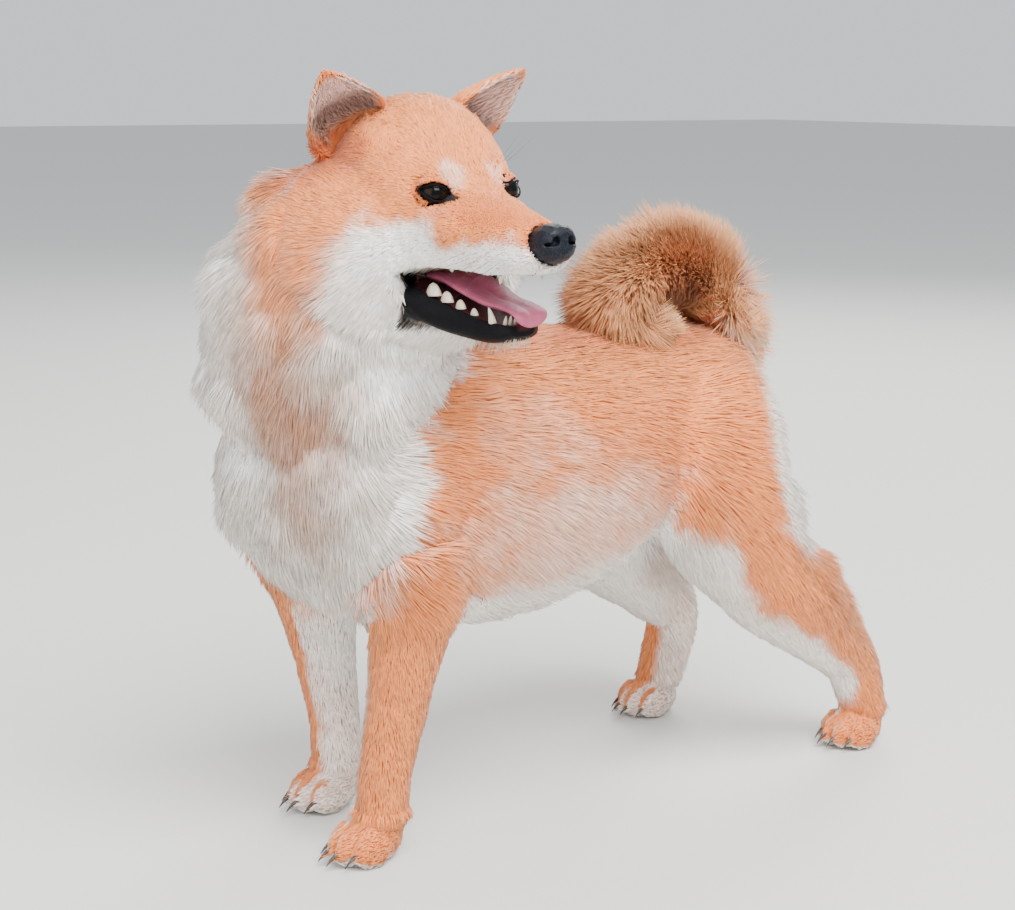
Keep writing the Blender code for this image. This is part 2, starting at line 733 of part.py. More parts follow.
def leg_volume(side, joints, widen, shift, home, grow):
    """A wide sleeve round a leg, whose round top is the leg's seat in the body."""
    wide = [Joint(j.x, j.y + side * shift, j.z, j.radius * widen + SLEEVE_ROOM) for j in joints[1:]]
    last = wide[-1]
    wide.append(Joint(last.x, last.y, -0.03, last.radius))
    return tube("sleeve", wide, home, grow=grow, samples=9, sides=14)


def paw_volume(ankle, home, grow):
    """The space of one paw, below the pastern."""
    bm = bmesh.new()
    bmesh.ops.create_cube(bm, size=1)
    size = Matrix.Diagonal((0.15 + 2 * grow, 0.09 + 2 * grow, 2 * PAW_CUT + 2 * grow, 1))
    bmesh.ops.transform(bm, matrix=Matrix.Translation((ankle.x + 0.02, ankle.y, 0)) @ size, verts=bm.verts)
    return finished("space", bm, home)


def body_nodes(paws, coarse, home):
    """Paws from the finer skin; neck, legs and torso from the coarse one."""
    names = ("paw_front_left", "paw_front_right", "paw_hind_left", "paw_hind_right")
    for name, ankle in zip(names, ANKLES):
        part_off(paws, name, lambda grow: paw_volume(ankle, home, grow), home)
        boolean(coarse, paw_volume(ankle, home, GAP), "DIFFERENCE")
    boolean(coarse, head_side(home, GAP), "DIFFERENCE")
    part_off(coarse, "neck", lambda grow: beyond(*NECK_CUT, home, grow=grow), home)
    for side, word in ((LEFT, "left"), (RIGHT, "right")):
        for kind, joints, widen, shift in (
            ("foreleg_", FORELEGS[side], *FORELEG_SLEEVE),
            ("hindleg_", HINDLEGS[side], *HINDLEG_SLEEVE),
        ):
            part_off(coarse, kind + word, lambda grow: leg_volume(side, joints, widen, shift, home, grow), home)
    torso = copy_of(coarse, "torso", home)
    return keep_largest(torso)


def tail_wedge(start, end, home, grow=0.0, reach=0.16):
    """A slice of the tail's curl between two angles round its eye, as a block across the tail."""
    middle, half = radians((start + end) / 2), radians((end - start) / 2)
    apex = TAIL_EYE - Vector((cos(middle), 0, sin(middle))) * (grow / sin(half))
    bm = bmesh.new()
    rings = []
    for y in (-0.12, 0.12):
        ring = [apex + Vector((0, y, 0))]
        for k in range(7):
            angle = middle + half * (k / 3 - 1)
            ring.append(apex + Vector((reach * cos(angle), y, reach * sin(angle))))
        rings.append(ring)
    skin_rings(bm, rings)
    return finished("wedge", bm, home)


def clear_of(node, other, home):
    """Cuts the node clear of another by the gap."""
    room = copy_of(other, "room", home)
    swell = room.modifiers.new("swell", "DISPLACE")
    swell.strength, swell.mid_level = 1.5 * GAP, 0
    applied(room)
    return keep_largest(boolean(node, room, "DIFFERENCE", "MANIFOLD"))


def tail_locks(home, draw):
    """The brush of the tail: rows of locks that stand out all round its bone line and lean to its tip."""
    line = eased(TAIL, 41)
    reaches = eased([(reach, 0) for reach in TAIL_BRUSH], 41)
    for row in range(TAIL_ROWS):
        i = round(2 + 37 * row / (TAIL_ROWS - 1))
        centre, radius, reach = line[i].to_3d(), line[i][3], reaches[i][0]
        ahead = (line[i + 1] - line[i - 1]).to_3d().normalized()
        across = Vector((0, 1, 0))
        across = (across - across.dot(ahead) * ahead).normalized()
        other = ahead.cross(across)
        inward = (TAIL_EYE - centre).normalized()
        for k in range(TAIL_ROUND):
            turn = 2 * pi * (k + 0.5 * (row % 2)) / TAIL_ROUND + draw.uniform(-0.12, 0.12)
            out = cos(turn) * across + sin(turn) * other
            short = 1 - 0.42 * max(out.dot(inward), 0)
            core, tip = radius + TAIL_CORE * reach, (radius + reach) * short * draw.uniform(0.97, 1.04)
            lean = draw.uniform(0.018, 0.028)
            points, shares = [], []
            for height, along, share in TAIL_LOCK_STATIONS:
                points.append(centre + out * (core + height * (tip - core)) + ahead * (lean * along))
                shares.append(share)
            points[0] = centre + out * (core - TAIL_ROOT)
            blade(points, [out] * len(points), shares, draw.uniform(0.030, 0.036), TAIL_LOCK_THICK, home)


def tail_nodes(torso, home, draw):
    """The tail's curl: a core with its locks, parted into lengths and kept clear of the back."""
    brush = [Joint(j.x, j.y, j.z, j.radius + TAIL_CORE * reach) for j, reach in zip(TAIL, TAIL_BRUSH)]
    whole = blended(tube("tail", brush, home, samples=22, sides=16), DEEP_VOXEL, FINE_PASSES)
    flesh = thinned(whole, "flesh", TAIL_GRAIN, home)
    bpy.data.objects.remove(whole)
    locks = collection("locks")
    tail_locks(locks, draw)
    join_all(flesh, locks)
    for name, start, end in TAIL_PARTS:
        part = part_off(flesh, name, lambda grow: tail_wedge(start, end, home, grow), home)
        clear_of(part, torso, home)
    bpy.data.objects.remove(flesh)


def dress(node, finish):
    """Gives a node its own material and smooth shading."""
    material = bpy.data.materials.new(node.name)
    material.use_nodes = True
    surface = material.node_tree.nodes["Principled BSDF"]
    surface.inputs["Base Color"].default_value = (*finish.colour, 1)
    surface.inputs["Roughness"].default_value = finish.roughness
    node.data.materials.clear()
    node.data.materials.append(material)
    node.data.shade_smooth()
    node.data.set_sharp_from_angle(angle=SHARP_EDGE)


def set_on_floor(nodes):
    """Parents every node to one empty, which centres the model over the origin, on the floor."""
    corners = [v.co for node in nodes for v in node.data.vertices]
    low = Vector([min(c[i] for c in corners) for i in range(3)])
    high = Vector([max(c[i] for c in corners) for i in range(3)])
    stance = bpy.data.objects.new("stance", None)
    stance.location = (-(low.x + high.x) / 2, -(low.y + high.y) / 2, -low.z)
    bpy.context.scene.collection.objects.link(stance)
    for node in nodes:
        node.parent = stance


def body_locks():
    """The ruff and the breeches: for each, limb, rows, angles, flow, length, width and rise."""
    plan = [
        (NECK, (0.46, 0.66, 0.84), range(75, 360, 34), (-0.8, 0, 0, -0.5), 0.060, 0.040, 0.0072),
        (NECK, (0.22,), range(220, 330, 34), (-0.6, 0, 0, -0.7), 0.060, 0.038, 0.0060),
    ]
    for side in (LEFT, RIGHT):
        angles, flow = range(215, 330, 35), (0.9, -0.1, 0, -0.3)
        plan.append((HINDLEGS[side], (0.12, 0.34), angles, flow, 0.056, 0.036, 0.0060))
    return plan


def main():
    """Blends the flesh, parts it into nodes, adds the separate forms and sets the model on the floor."""
    clear_scene()
    raw, work = collection("masses"), collection("work")
    dog = collection("shiba_inu", shown=True)
    torso_masses(raw)
    leg_masses(raw)
    head_masses(raw)
    deep = blended(joined(raw, "deep", work), DEEP_VOXEL, DEEP_PASSES)
    for piece in list(raw.objects):
        bpy.data.objects.remove(piece)
    fine_masses(raw)
    raw.objects.link(deep)
    skin = blended(joined(raw, "skin", work), FINE_VOXEL, FINE_PASSES)
    fine, paws, coarse = (
        thinned(skin, name, faces, work)
        for name, faces in (("fine", HEAD_GRAIN), ("paws", PAW_GRAIN), ("coarse", BODY_GRAIN))
    )
    boolean(paws, beyond(*FLOOR_CUT, work, reach=2), "DIFFERENCE")
    draw = Random(LOCK_SEED)
    with_locks(coarse, body_locks(), draw)
    head = head_node(fine, dog)
    jaw_node(head, dog)
    keep_largest(head)
    nose(dog)
    for side, name in ((LEFT, "eye_left"), (RIGHT, "eye_right")):
        eye_ball(name, side, dog)
    torso = body_nodes(paws, coarse, dog)
    tail_nodes(torso, dog, draw)
    for helper in {*raw.objects, *work.objects}:
        bpy.data.objects.remove(helper)
    finishes = {
        "lower_jaw": LIP_BLACK,
        "tongue": TONGUE_PINK,
        "nose": NOSE_BLACK,
        "eye": EYE_BROWN,
        "neck": PALE_COAT,
    }
    nodes = list(dog.objects)
    for node in nodes:
        kind = [key for key in finishes if node.name.startswith(key)]
        dress(node, finishes[kind[0]] if kind else RED_COAT)
    set_on_floor(nodes)


main()
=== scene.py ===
"""Looks of a life-size shiba inu: coat, eyes, nose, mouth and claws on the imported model, in studio light."""

import logging
from collections.abc import Callable, Iterable, Sequence
from dataclasses import dataclass, replace
from enum import Enum
from math import cos, pi, radians, sin, sqrt
from random import Random

import bmesh
import bpy
import numpy as np
from mathutils import Matrix, Vector, noise

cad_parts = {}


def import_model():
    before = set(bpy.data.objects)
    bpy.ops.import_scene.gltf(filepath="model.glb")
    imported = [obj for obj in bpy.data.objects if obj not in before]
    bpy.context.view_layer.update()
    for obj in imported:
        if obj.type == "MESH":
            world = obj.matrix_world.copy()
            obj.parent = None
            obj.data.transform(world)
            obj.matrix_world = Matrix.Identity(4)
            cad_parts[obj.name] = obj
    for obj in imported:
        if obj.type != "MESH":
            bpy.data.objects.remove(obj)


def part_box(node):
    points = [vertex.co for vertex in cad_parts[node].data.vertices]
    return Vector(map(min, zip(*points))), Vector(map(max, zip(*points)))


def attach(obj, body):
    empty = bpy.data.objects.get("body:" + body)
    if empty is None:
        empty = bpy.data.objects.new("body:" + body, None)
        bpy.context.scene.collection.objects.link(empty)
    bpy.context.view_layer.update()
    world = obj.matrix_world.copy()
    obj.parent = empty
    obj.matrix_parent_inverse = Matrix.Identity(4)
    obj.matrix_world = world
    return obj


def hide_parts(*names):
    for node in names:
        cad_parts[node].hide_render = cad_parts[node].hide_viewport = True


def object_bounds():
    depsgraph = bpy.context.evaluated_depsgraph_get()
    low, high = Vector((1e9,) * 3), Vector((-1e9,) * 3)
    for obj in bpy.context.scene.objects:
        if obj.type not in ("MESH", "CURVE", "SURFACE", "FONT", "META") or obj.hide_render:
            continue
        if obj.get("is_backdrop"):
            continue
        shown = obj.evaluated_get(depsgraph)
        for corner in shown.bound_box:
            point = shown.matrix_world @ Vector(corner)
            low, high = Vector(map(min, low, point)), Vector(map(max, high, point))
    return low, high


log = logging.getLogger("shiba")

Triple = tuple[float, float, float]
# the UV map that skin and coat share, and the share of its side that a tuft's own patch takes
BAKE_MAP = "OFBake"
TUFT_PATCH = 0.003
# the only body, which stands still
BODY = "root"
# metres kept clear over the floor
FLOOR_GAP = 0.0003
# how far a point's blended region number may be from the region's own
REGION_SLACK = 0.34


class Side(Enum):
    """The dog's own left and right."""

    LEFT = 1
    RIGHT = -1


class Mask(Enum):
    """Patterns on the coat, bare places, and painted shade and light that skin and coat both read, by the name
    of their attribute.
    """

    CREAM = "cream"
    # painted shade in the ear cups, on the chest's band and in the tail's hollow
    DARK = "dark"
    # deeper red on the back, and painted shade in the ears' root folds and the tail's curl
    SADDLE = "saddle"
    BARE = "bare"
    # pale tips, and painted light on the tail's outer edge
    FROST = "frost"


class Frame(Enum):
    """Whose coordinates a place is given in."""

    BODY = "body"
    HEAD = "head"


# places in the head's frame
EYE_PLACE = (-0.0055, 0.0285, 0.0050)
EYE_RADIUS = 0.0105
NOSE_PLACE = (0.0835, 0.0, -0.0285)
EAR_BASE, EAR_TIP = Vector((-0.070, 0.047, 0.046)), Vector((-0.046, 0.082, 0.085))
EAR_WIDTH = 0.033

# places in the working frame: lines of (x, y, z, radius) stations for the tail and the hind legs
TAIL_EYE = np.array((-0.298, 0.010, 0.390))
TAIL_MIDDLE = np.array((-0.300, 0.008, 0.376))
TAIL_LINE = (
    (-0.346, 0.000, 0.338, 0.017),
    (-0.358, 0.001, 0.366, 0.017),
    (-0.340, 0.003, 0.399, 0.016),
    (-0.302, 0.006, 0.416, 0.015),
    (-0.262, 0.010, 0.411, 0.013),
    (-0.236, 0.014, 0.394, 0.011),
    (-0.242, 0.017, 0.382, 0.008),
)
HIND_LINES = {
    Side.LEFT: (
        (-0.308, 0.060, 0.225, 0.044),
        (-0.346, 0.080, 0.165, 0.042),
        (-0.402, 0.085, 0.115, 0.0295),
        (-0.444, 0.086, 0.076, 0.0210),
        (-0.464, 0.087, 0.030, 0.0165),
    ),
    Side.RIGHT: (
        (-0.284, -0.060, 0.230, 0.042),
        (-0.303, -0.078, 0.172, 0.040),
        (-0.352, -0.081, 0.125, 0.0280),
        (-0.386, -0.081, 0.090, 0.0210),
        (-0.374, -0.081, 0.030, 0.0165),
    ),
}
ANKLES = ((0.016, 0.052), (-0.014, -0.056), (-0.464, 0.087), (-0.374, -0.081))


@dataclass(frozen=True)
class Stance:
    """Where the dog stands: the shift from its working frame to the model's, and its head's own frame."""

    shift: Vector
    head: Matrix

    @classmethod
    def read(cls) -> "Stance":
        """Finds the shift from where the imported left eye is.

        Returns:
            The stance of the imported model.
        """
        eyes_at = Vector((-0.014, 0.126, 0.487))
        turn = Matrix.Rotation(radians(90), 4, "Z") @ Matrix.Rotation(radians(-4), 4, "Y")
        head = Matrix.Translation(eyes_at) @ turn @ Matrix.Rotation(radians(1), 4, "X")
        low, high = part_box("eye_left")
        shift = (Vector(low) + Vector(high)) / 2 - head @ Vector(EYE_PLACE)
        return cls(shift, Matrix.Translation(shift) @ head)

    def placed(self, point: Sequence[float]) -> Vector:
        """The model's place of a working-frame point."""
        return Vector(point) + self.shift

    def in_body(self, points: np.ndarray) -> np.ndarray:
        """Points in the working frame."""
        return points - np.array(self.shift)

    def in_head(self, points: np.ndarray) -> np.ndarray:
        """Points in the head's frame: x to the nose, y to its left, z up, from between the eyes."""
        return seen_from(self.head, points)

    def head_vectors(self, vectors: np.ndarray) -> np.ndarray:
        """Directions given in the head's frame, turned to the model's."""
        return vectors @ np.array(self.head.to_3x3()).T


def smooth(low: float, high: float, values: np.ndarray) -> np.ndarray:
    """Smooth step from 0 at low to 1 at high; low may be above high."""
    t = np.clip((values - low) / (high - low), 0, 1)
    return t * t * (3 - 2 * t)


def smooth_one(low: float, high: float, value: float) -> float:
    """Smooth step of one number."""
    return float(smooth(low, high, np.array(value)))


def seen_from(frame: Matrix, points: np.ndarray) -> np.ndarray:
    """The model's points, one a row, in a frame's own coordinates."""
    back = np.array(frame.inverted())
    return points @ back[:3, :3].T + back[:3, 3]


def unit(vectors: np.ndarray) -> np.ndarray:
    """Rows scaled to length 1."""
    return vectors / np.maximum(np.linalg.norm(vectors, axis=1, keepdims=True), 1e-9)


def wander(points: np.ndarray, scale: float, seed: float = 0.0) -> np.ndarray:
    """Smooth noise from -1 to 1 at each point.

    Args:
        points: Places, one a row.
        scale: Cycles in a metre.
        seed: Moves the pattern.
    """
    offset = Vector((seed, seed * 1.7, -seed))
    return np.array([noise.noise(Vector(p) * scale + offset) for p in points.tolist()])


def eased(stations: Sequence[Sequence[float]], samples: int) -> np.ndarray:
    """Rows read from a smooth curve through the stations.

    Args:
        stations: Rows of numbers.
        samples: How many rows to read.

    Returns:
        The rows.
    """
    rows = np.array(stations, dtype=float)
    rows = np.vstack([2 * rows[0] - rows[1], rows, 2 * rows[-1] - rows[-2]])
    at = np.linspace(0, len(rows) - 3 - 1e-9, samples)
    i = at.astype(int)
    t = (at - i)[:, None]
    a, b, c, d = (rows[i + k] for k in range(4))
    return 0.5 * (2 * b + (c - a) * t + (2 * a - 5 * b + 4 * c - d) * t**2 + (3 * b - a - 3 * c + d) * t**3)


def mesh_object(
    name: str, points: Iterable[Sequence[float]], faces: Iterable[Sequence[int]]
) -> bpy.types.Object:
    """A new mesh object in the scene, its faces turned outwards.

    Args:
        name: The object's name.
        points: Its vertices.
        faces: Its faces, as lists of vertices.

    Returns:
        The object.
    """
    mesh = bpy.data.meshes.new(name)
    mesh.from_pydata([tuple(map(float, p)) for p in points], [], [tuple(f) for f in faces])
    made = bpy.data.objects.new(name, mesh)
    bpy.context.scene.collection.objects.link(made)
    face_outwards(made)
    return made


def face_outwards(made: bpy.types.Object) -> None:
    """Turns the faces of closed shells outwards.

    Args:
        made: The object, changed in place.
    """
    bm = bmesh.new()
    bm.from_mesh(made.data)
    bmesh.ops.recalc_face_normals(bm, faces=bm.faces)
    bm.to_mesh(made.data)
    bm.free()


def rings_object(name: str, rings: Sequence[Sequence[Vector]]) -> bpy.types.Object:
    """A closed form skinned over rings of points, with a face over each end.

    Args:
        name: The object's name.
        rings: The rings, each with as many points.

    Returns:
        The object.
    """
    count = len(rings[0])
    points = [p for ring in rings for p in ring]
    faces = [tuple(range(count))[::-1], tuple(range(len(points) - count, len(points)))]
    for r in range(len(rings) - 1):
        for k in range(count):
            a, b = r * count + k, r * count + (k + 1) % count
            faces.append((a, b, b + count, a + count))
    return mesh_object(name, points, faces)


def circle(
    place: Matrix, centre: Vector, radius: float, across: Vector, other: Vector, sides: int
) -> list[Vector]:
    """Points evenly round a circle.

    Args:
        place: From the circle's frame to the model's.
        centre: Its middle.
        radius: Its radius.
        across: The way from its middle to its first point.
        other: The way in its plane that the points turn to.
        sides: How many points.

    Returns:
        The points.
    """
    turns = (2 * pi * k / sides for k in range(sides))
    return [place @ (centre + radius * (cos(t) * across + sin(t) * other)) for t in turns]


def tube(
    name: str, line: Sequence[Sequence[float]], place: Matrix, samples: int, sides: int
) -> bpy.types.Object:
    """A round tube along a smooth path of (x, y, z, radius) stations, with domed ends.

    Args:
        name: The object's name.
        line: The stations.
        place: From the stations' frame to the model's.
        samples: Rings along it.
        sides: Points round it.

    Returns:
        The object.
    """
    rows = eased(line, samples)
    points = [Vector(row[:3].tolist()) for row in rows]
    across = Vector((0, 1, 0))
    rings = []
    for i, point in enumerate(points):
        ahead = (points[min(i + 1, samples - 1)] - points[max(i - 1, 0)]).normalized()
        across = (across - across.dot(ahead) * ahead).normalized()
        other = ahead.cross(across)
        radius = float(rows[i][3])
        steps = [(0.0, 1.0)]
        if i == 0:
            steps = [(-sin(radians(a)), cos(radians(a))) for a in (80, 55, 28)] + steps
        if i == samples - 1:
            steps += [(sin(radians(a)), cos(radians(a))) for a in (28, 55, 80)]
        for shift, scale in steps:
            centre = point + ahead * radius * shift
            rings.append(circle(place, centre, radius * scale, across, other, sides))
    return rings_object(name, rings)


def baked(made: bpy.types.Object) -> bpy.types.Object:
    """Puts the result of the object's modifiers into its mesh.

    Args:
        made: The object, changed in place.

    Returns:
        The same object.
    """
    graph = bpy.context.evaluated_depsgraph_get()
    before = made.data
    made.data = bpy.data.meshes.new_from_object(made.evaluated_get(graph), depsgraph=graph)
    made.modifiers.clear()
    bpy.data.meshes.remove(before)
    return made


def remeshed(made: bpy.types.Object, voxel: float, passes: int) -> bpy.types.Object:
    """One even skin over crossing shells, smoothed.

    Args:
        made: The object, changed in place.
        voxel: The grain, in metres.
        passes: How many smoothing passes follow.

    Returns:
        The same object.
    """
    remesh = made.modifiers.new("remesh", "REMESH")
    remesh.mode, remesh.voxel_size = "VOXEL", voxel
    if passes:
        ease = made.modifiers.new("smooth", "SMOOTH")
        ease.factor, ease.iterations = 0.5, passes
    return baked(made)


def copied(node: str, grow: float) -> bpy.types.Object:
    """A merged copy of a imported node's solid, swelled along its normals or shrunk if grow is below 0.

    Args:
        node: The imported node's name.
        grow: How far it swells, in metres.

    Returns:
        The copy.
    """
    made = bpy.data.objects.new(f"{node}_copy", bpy.data.objects[node].data.copy())
    bpy.context.scene.collection.objects.link(made)
    bm = bmesh.new()
    bm.from_mesh(made.data)
    bmesh.ops.remove_doubles(bm, verts=bm.verts, dist=1e-6)
    bm.normal_update()
    for vert in bm.verts:
        vert.co += vert.normal * grow
    bm.to_mesh(made.data)
    bm.free()
    return made


def merged(name: str, pieces: Sequence[bpy.types.Object]) -> bpy.types.Object:
    """One object with the shells of several, which are removed.

    Args:
        name: The new object's name.
        pieces: The objects.

    Returns:
        The new object.
    """
    bm = bmesh.new()
    for piece in pieces:
        bm.from_mesh(piece.data)
        bpy.data.objects.remove(piece)
    mesh = bpy.data.meshes.new(name)
    bm.to_mesh(mesh)
    bm.free()
    made = bpy.data.objects.new(name, mesh)
    bpy.context.scene.collection.objects.link(made)
    return made


def gathered(
    name: str, pieces: Iterable[bpy.types.Object], material: bpy.types.Material
) -> bpy.types.Object:
    """One dressed piece made of many closed shells.

    Args:
        name: The piece's name.
        pieces: The objects with its shells.
        material: Its finish.

    Returns:
        The piece.
    """
    made = merged(name, list(pieces))
    face_outwards(made)
    return dress(made, material)


def points_of(made: bpy.types.Object) -> np.ndarray:
    """The object's vertices, one a row.

    Args:
        made: The object.

    Returns:
        Its vertices.
    """
    flat = np.empty(len(made.data.vertices) * 3)
    made.data.vertices.foreach_get("co", flat)
    return flat.reshape(-1, 3)


def normals_of(made: bpy.types.Object) -> np.ndarray:
    """The object's vertex normals, one a row.

    Args:
        made: The object.

    Returns:
        Its normals.
    """
    flat = np.empty(len(made.data.vertices) * 3, np.float32)
    made.data.vertex_normals.foreach_get("vector", flat)
    return flat.reshape(-1, 3).astype(float)


def move_points(made: bpy.types.Object, points: np.ndarray) -> None:
    """Sets the object's vertices."""
    made.data.vertices.foreach_set("co", points.ravel())
    made.data.update()


def store(made: bpy.types.Object, name: str, values: np.ndarray) -> None:
    """Stores numbers or vectors on the object's vertices under a name."""
    kind, key = ("FLOAT", "value") if values.ndim == 1 else ("FLOAT_VECTOR", "vector")
    made.data.attributes.new(name, kind, "POINT").data.foreach_set(key, values.astype(np.float32).ravel())


def dress(made: bpy.types.Object, material: bpy.types.Material) -> bpy.types.Object:
    """Gives a piece its only material and slot, smooth faces, and its ride on the still body.

    Args:
        made: The piece.
        material: Its finish.

    Returns:
        The same piece.
    """
    made.data.materials.clear()
    made.data.materials.append(material)
    made.data.shade_smooth()
    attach(made, BODY)
    log.info("%s: %d triangles", made.name, sum(len(p.vertices) - 2 for p in made.data.polygons))
    return made


class Wire:
    """A node's output: arithmetic on numbers adds Math nodes, and on vectors Vector Math nodes."""

    def __init__(self, graph: "Graph", socket: bpy.types.NodeSocket) -> None:
        """Keeps the socket with the graph that it is in."""
        self.graph, self.socket = graph, socket

    def __add__(self, other: "Number") -> "Wire":
        """Sum."""
        return self.graph.arithmetic("ADD", self, other)

    __radd__ = __add__

    def __sub__(self, other: "Number") -> "Wire":
        """Difference."""
        return self.graph.arithmetic("SUBTRACT", self, other)

    def __rsub__(self, other: "Number") -> "Wire":
        """Difference from a plain number."""
        return self.graph.arithmetic("SUBTRACT", other, self)

    def __mul__(self, other: "Number") -> "Wire":
        """Product."""
        return self.graph.arithmetic("MULTIPLY", self, other)

    __rmul__ = __mul__

    def between(self, low: float, high: float) -> "Wire":
        """Smooth step of a number from 0 at low to 1 at high.

        Args:
            low: Where the step starts.
            high: Where it ends.

        Returns:
            The step.
        """
        settings = {"interpolation_type": "SMOOTHSTEP"}
        sockets = {"Value": self, "From Min": low, "From Max": high}
        return self.graph.node("ShaderNodeMapRange", settings, sockets)


Number = Wire | float


class Graph:
    """Adds nodes to one tree, for a material or for geometry."""

    def __init__(self, tree: bpy.types.NodeTree) -> None:
        """Keeps the tree."""
        self.tree = tree

    def node(
        self, kind: str, settings: dict | None = None, sockets: dict | None = None, out: str = ""
    ) -> Wire:
        """Adds a node.

        Args:
            kind: Its type.
            settings: Its properties, set first; stops sets a colour ramp's stops.
            sockets: Values or wires for its inputs, by name or index.
            out: The name of the output wanted, or the first enabled one.

        Returns:
            The output asked for.
        """
        made = self.tree.nodes.new(kind)
        for key, value in (settings or {}).items():
            if key == "stops":
                self._stops(made.color_ramp, value)
            else:
                setattr(made, key, value)
        for key, value in (sockets or {}).items():
            socket = made.inputs[key] if isinstance(key, int) else self._inlet(made, key)
            if isinstance(value, Wire):
                self.tree.links.new(value.socket, socket)
            else:
                socket.default_value = value
        outputs = [s for s in made.outputs if s.enabled and (not out or out in (s.name, s.identifier))]
        return Wire(self, outputs[0] if outputs else None)

    @staticmethod
    def _inlet(made: bpy.types.Node, name: str) -> bpy.types.NodeSocket:
        """The enabled input of that name or identifier."""
        exact = [s for s in made.inputs if s.identifier == name and s.enabled]
        return (exact or [s for s in made.inputs if s.name == name and s.enabled])[0]

    @staticmethod
    def _stops(ramp: bpy.types.ColorRamp, stops: Sequence[tuple[float, Triple]]) -> None:
        """Sets a ramp's stops.

        Args:
            ramp: The ramp.
            stops: Places from 0 to 1 with their colours.
        """
        while len(ramp.elements) > 1:
            ramp.elements.remove(ramp.elements[-1])
        for i, (at, colour) in enumerate(stops):
            stop = ramp.elements[0] if i == 0 else ramp.elements.new(at)
            stop.position, stop.color = at, (*colour, 1)

    def arithmetic(self, operation: str, left: Number, right: Number) -> Wire:
        """Adds a Math node, or a Vector Math node where one side is a vector.

        Args:
            operation: The node's operation.
            left: Its first input.
            right: Its second input.

        Returns:
            The result.
        """
        vectors = [isinstance(v, Wire) and v.socket.type in ("VECTOR", "RGBA") for v in (left, right)]
        if not any(vectors):
            return self.node("ShaderNodeMath", {"operation": operation}, {0: left, 1: right})
        if all(vectors):
            return self.node("ShaderNodeVectorMath", {"operation": operation}, {0: left, 1: right})
        vector, number = (left, right) if vectors[0] else (right, left)
        return self.node("ShaderNodeVectorMath", {"operation": "SCALE"}, {"Vector": vector, "Scale": number})

    def blend(self, factor: Number, first: Wire | Triple, second: Wire | Triple, mode: str = "MIX") -> Wire:
        """Adds a Mix node for two colours.

        Args:
            factor: The share of the second colour.
            first: A colour.
            second: A colour.
            mode: How they mix.

        Returns:
            The mixed colour.
        """
        ends = [c if isinstance(c, Wire) else (*c, 1.0) for c in (first, second)]
        settings = {"data_type": "RGBA", "blend_type": mode}
        sockets = {"Factor_Float": factor, "A_Color": ends[0], "B_Color": ends[1]}
        return self.node("ShaderNodeMix", settings, sockets, "Result_Color")

    def attribute(self, name: str) -> Wire:
        """A number stored on the mesh."""
        return self.node("ShaderNodeAttribute", {"attribute_name": name}, out="Fac")

    def grain(self, scale: float, detail: float = 3.0, stretch: Triple = (1, 1, 1)) -> Wire:
        """Noise over the object's own coordinates.

        Args:
            scale: Cycles in a metre.
            detail: How fine it goes.
            stretch: The scale along each axis.

        Returns:
            The noise, from 0 to 1.
        """
        place = self.node("ShaderNodeTexCoord", out="Object")
        place = self.node("ShaderNodeMapping", {}, {"Vector": place, "Scale": stretch})
        return self.node("ShaderNodeTexNoise", {}, {"Vector": place, "Scale": scale, "Detail": detail}, "Fac")

    def cells(self, scale: float) -> Wire:
        """Distance from the middles of cells over the object's own coordinates."""
        place = self.node("ShaderNodeTexCoord", out="Object")
        return self.node("ShaderNodeTexVoronoi", {}, {"Vector": place, "Scale": scale}, "Distance")


Paint = Callable[[Graph], tuple[Wire | Triple, Wire | None, Wire | None]]


@dataclass(frozen=True)
class Finish:
    """A material's constants: its name, roughness and the strength of a few effects."""

    name: str
    roughness: float
    specular: float = 0.5
    coat: float = 0.0
    coat_roughness: float = 0.05
    sheen: float = 0.0
    subsurface: float = 0.0
    subsurface_scale: float = 0.003
    bump: float = 0.6
    bump_distance: float = 0.001

    def surface(self, paint: Paint) -> bpy.types.Material:
        """Makes the material.

        Args:
            paint: Adds nodes, and returns colour, a height for the bump or None, and roughness or None.

        Returns:
            The material.
        """
        made = bpy.data.materials.new(self.name)
        made.use_nodes = True
        graph = Graph(made.node_tree)
        shader = made.node_tree.nodes["Principled BSDF"]
        for socket, value in (
            ("Roughness", self.roughness),
            ("Specular IOR Level", self.specular),
            ("Coat Weight", self.coat),
            ("Coat Roughness", self.coat_roughness),
            ("Sheen Weight", self.sheen),
            ("Subsurface Weight", self.subsurface),
            ("Subsurface Scale", self.subsurface_scale),
        ):
            shader.inputs[socket].default_value = value
        colour, height, roughness = paint(graph)
        if isinstance(colour, Wire):
            made.node_tree.links.new(colour.socket, shader.inputs["Base Color"])
        else:
            shader.inputs["Base Color"].default_value = (*colour, 1)
        if isinstance(roughness, Wire):
            made.node_tree.links.new(roughness.socket, shader.inputs["Roughness"])
        if height is not None:
            sockets = {"Strength": self.bump, "Distance": self.bump_distance, "Height": height}
            bump = graph.node("ShaderNodeBump", {}, sockets)
            made.node_tree.links.new(bump.socket, shader.inputs["Normal"])
        return made


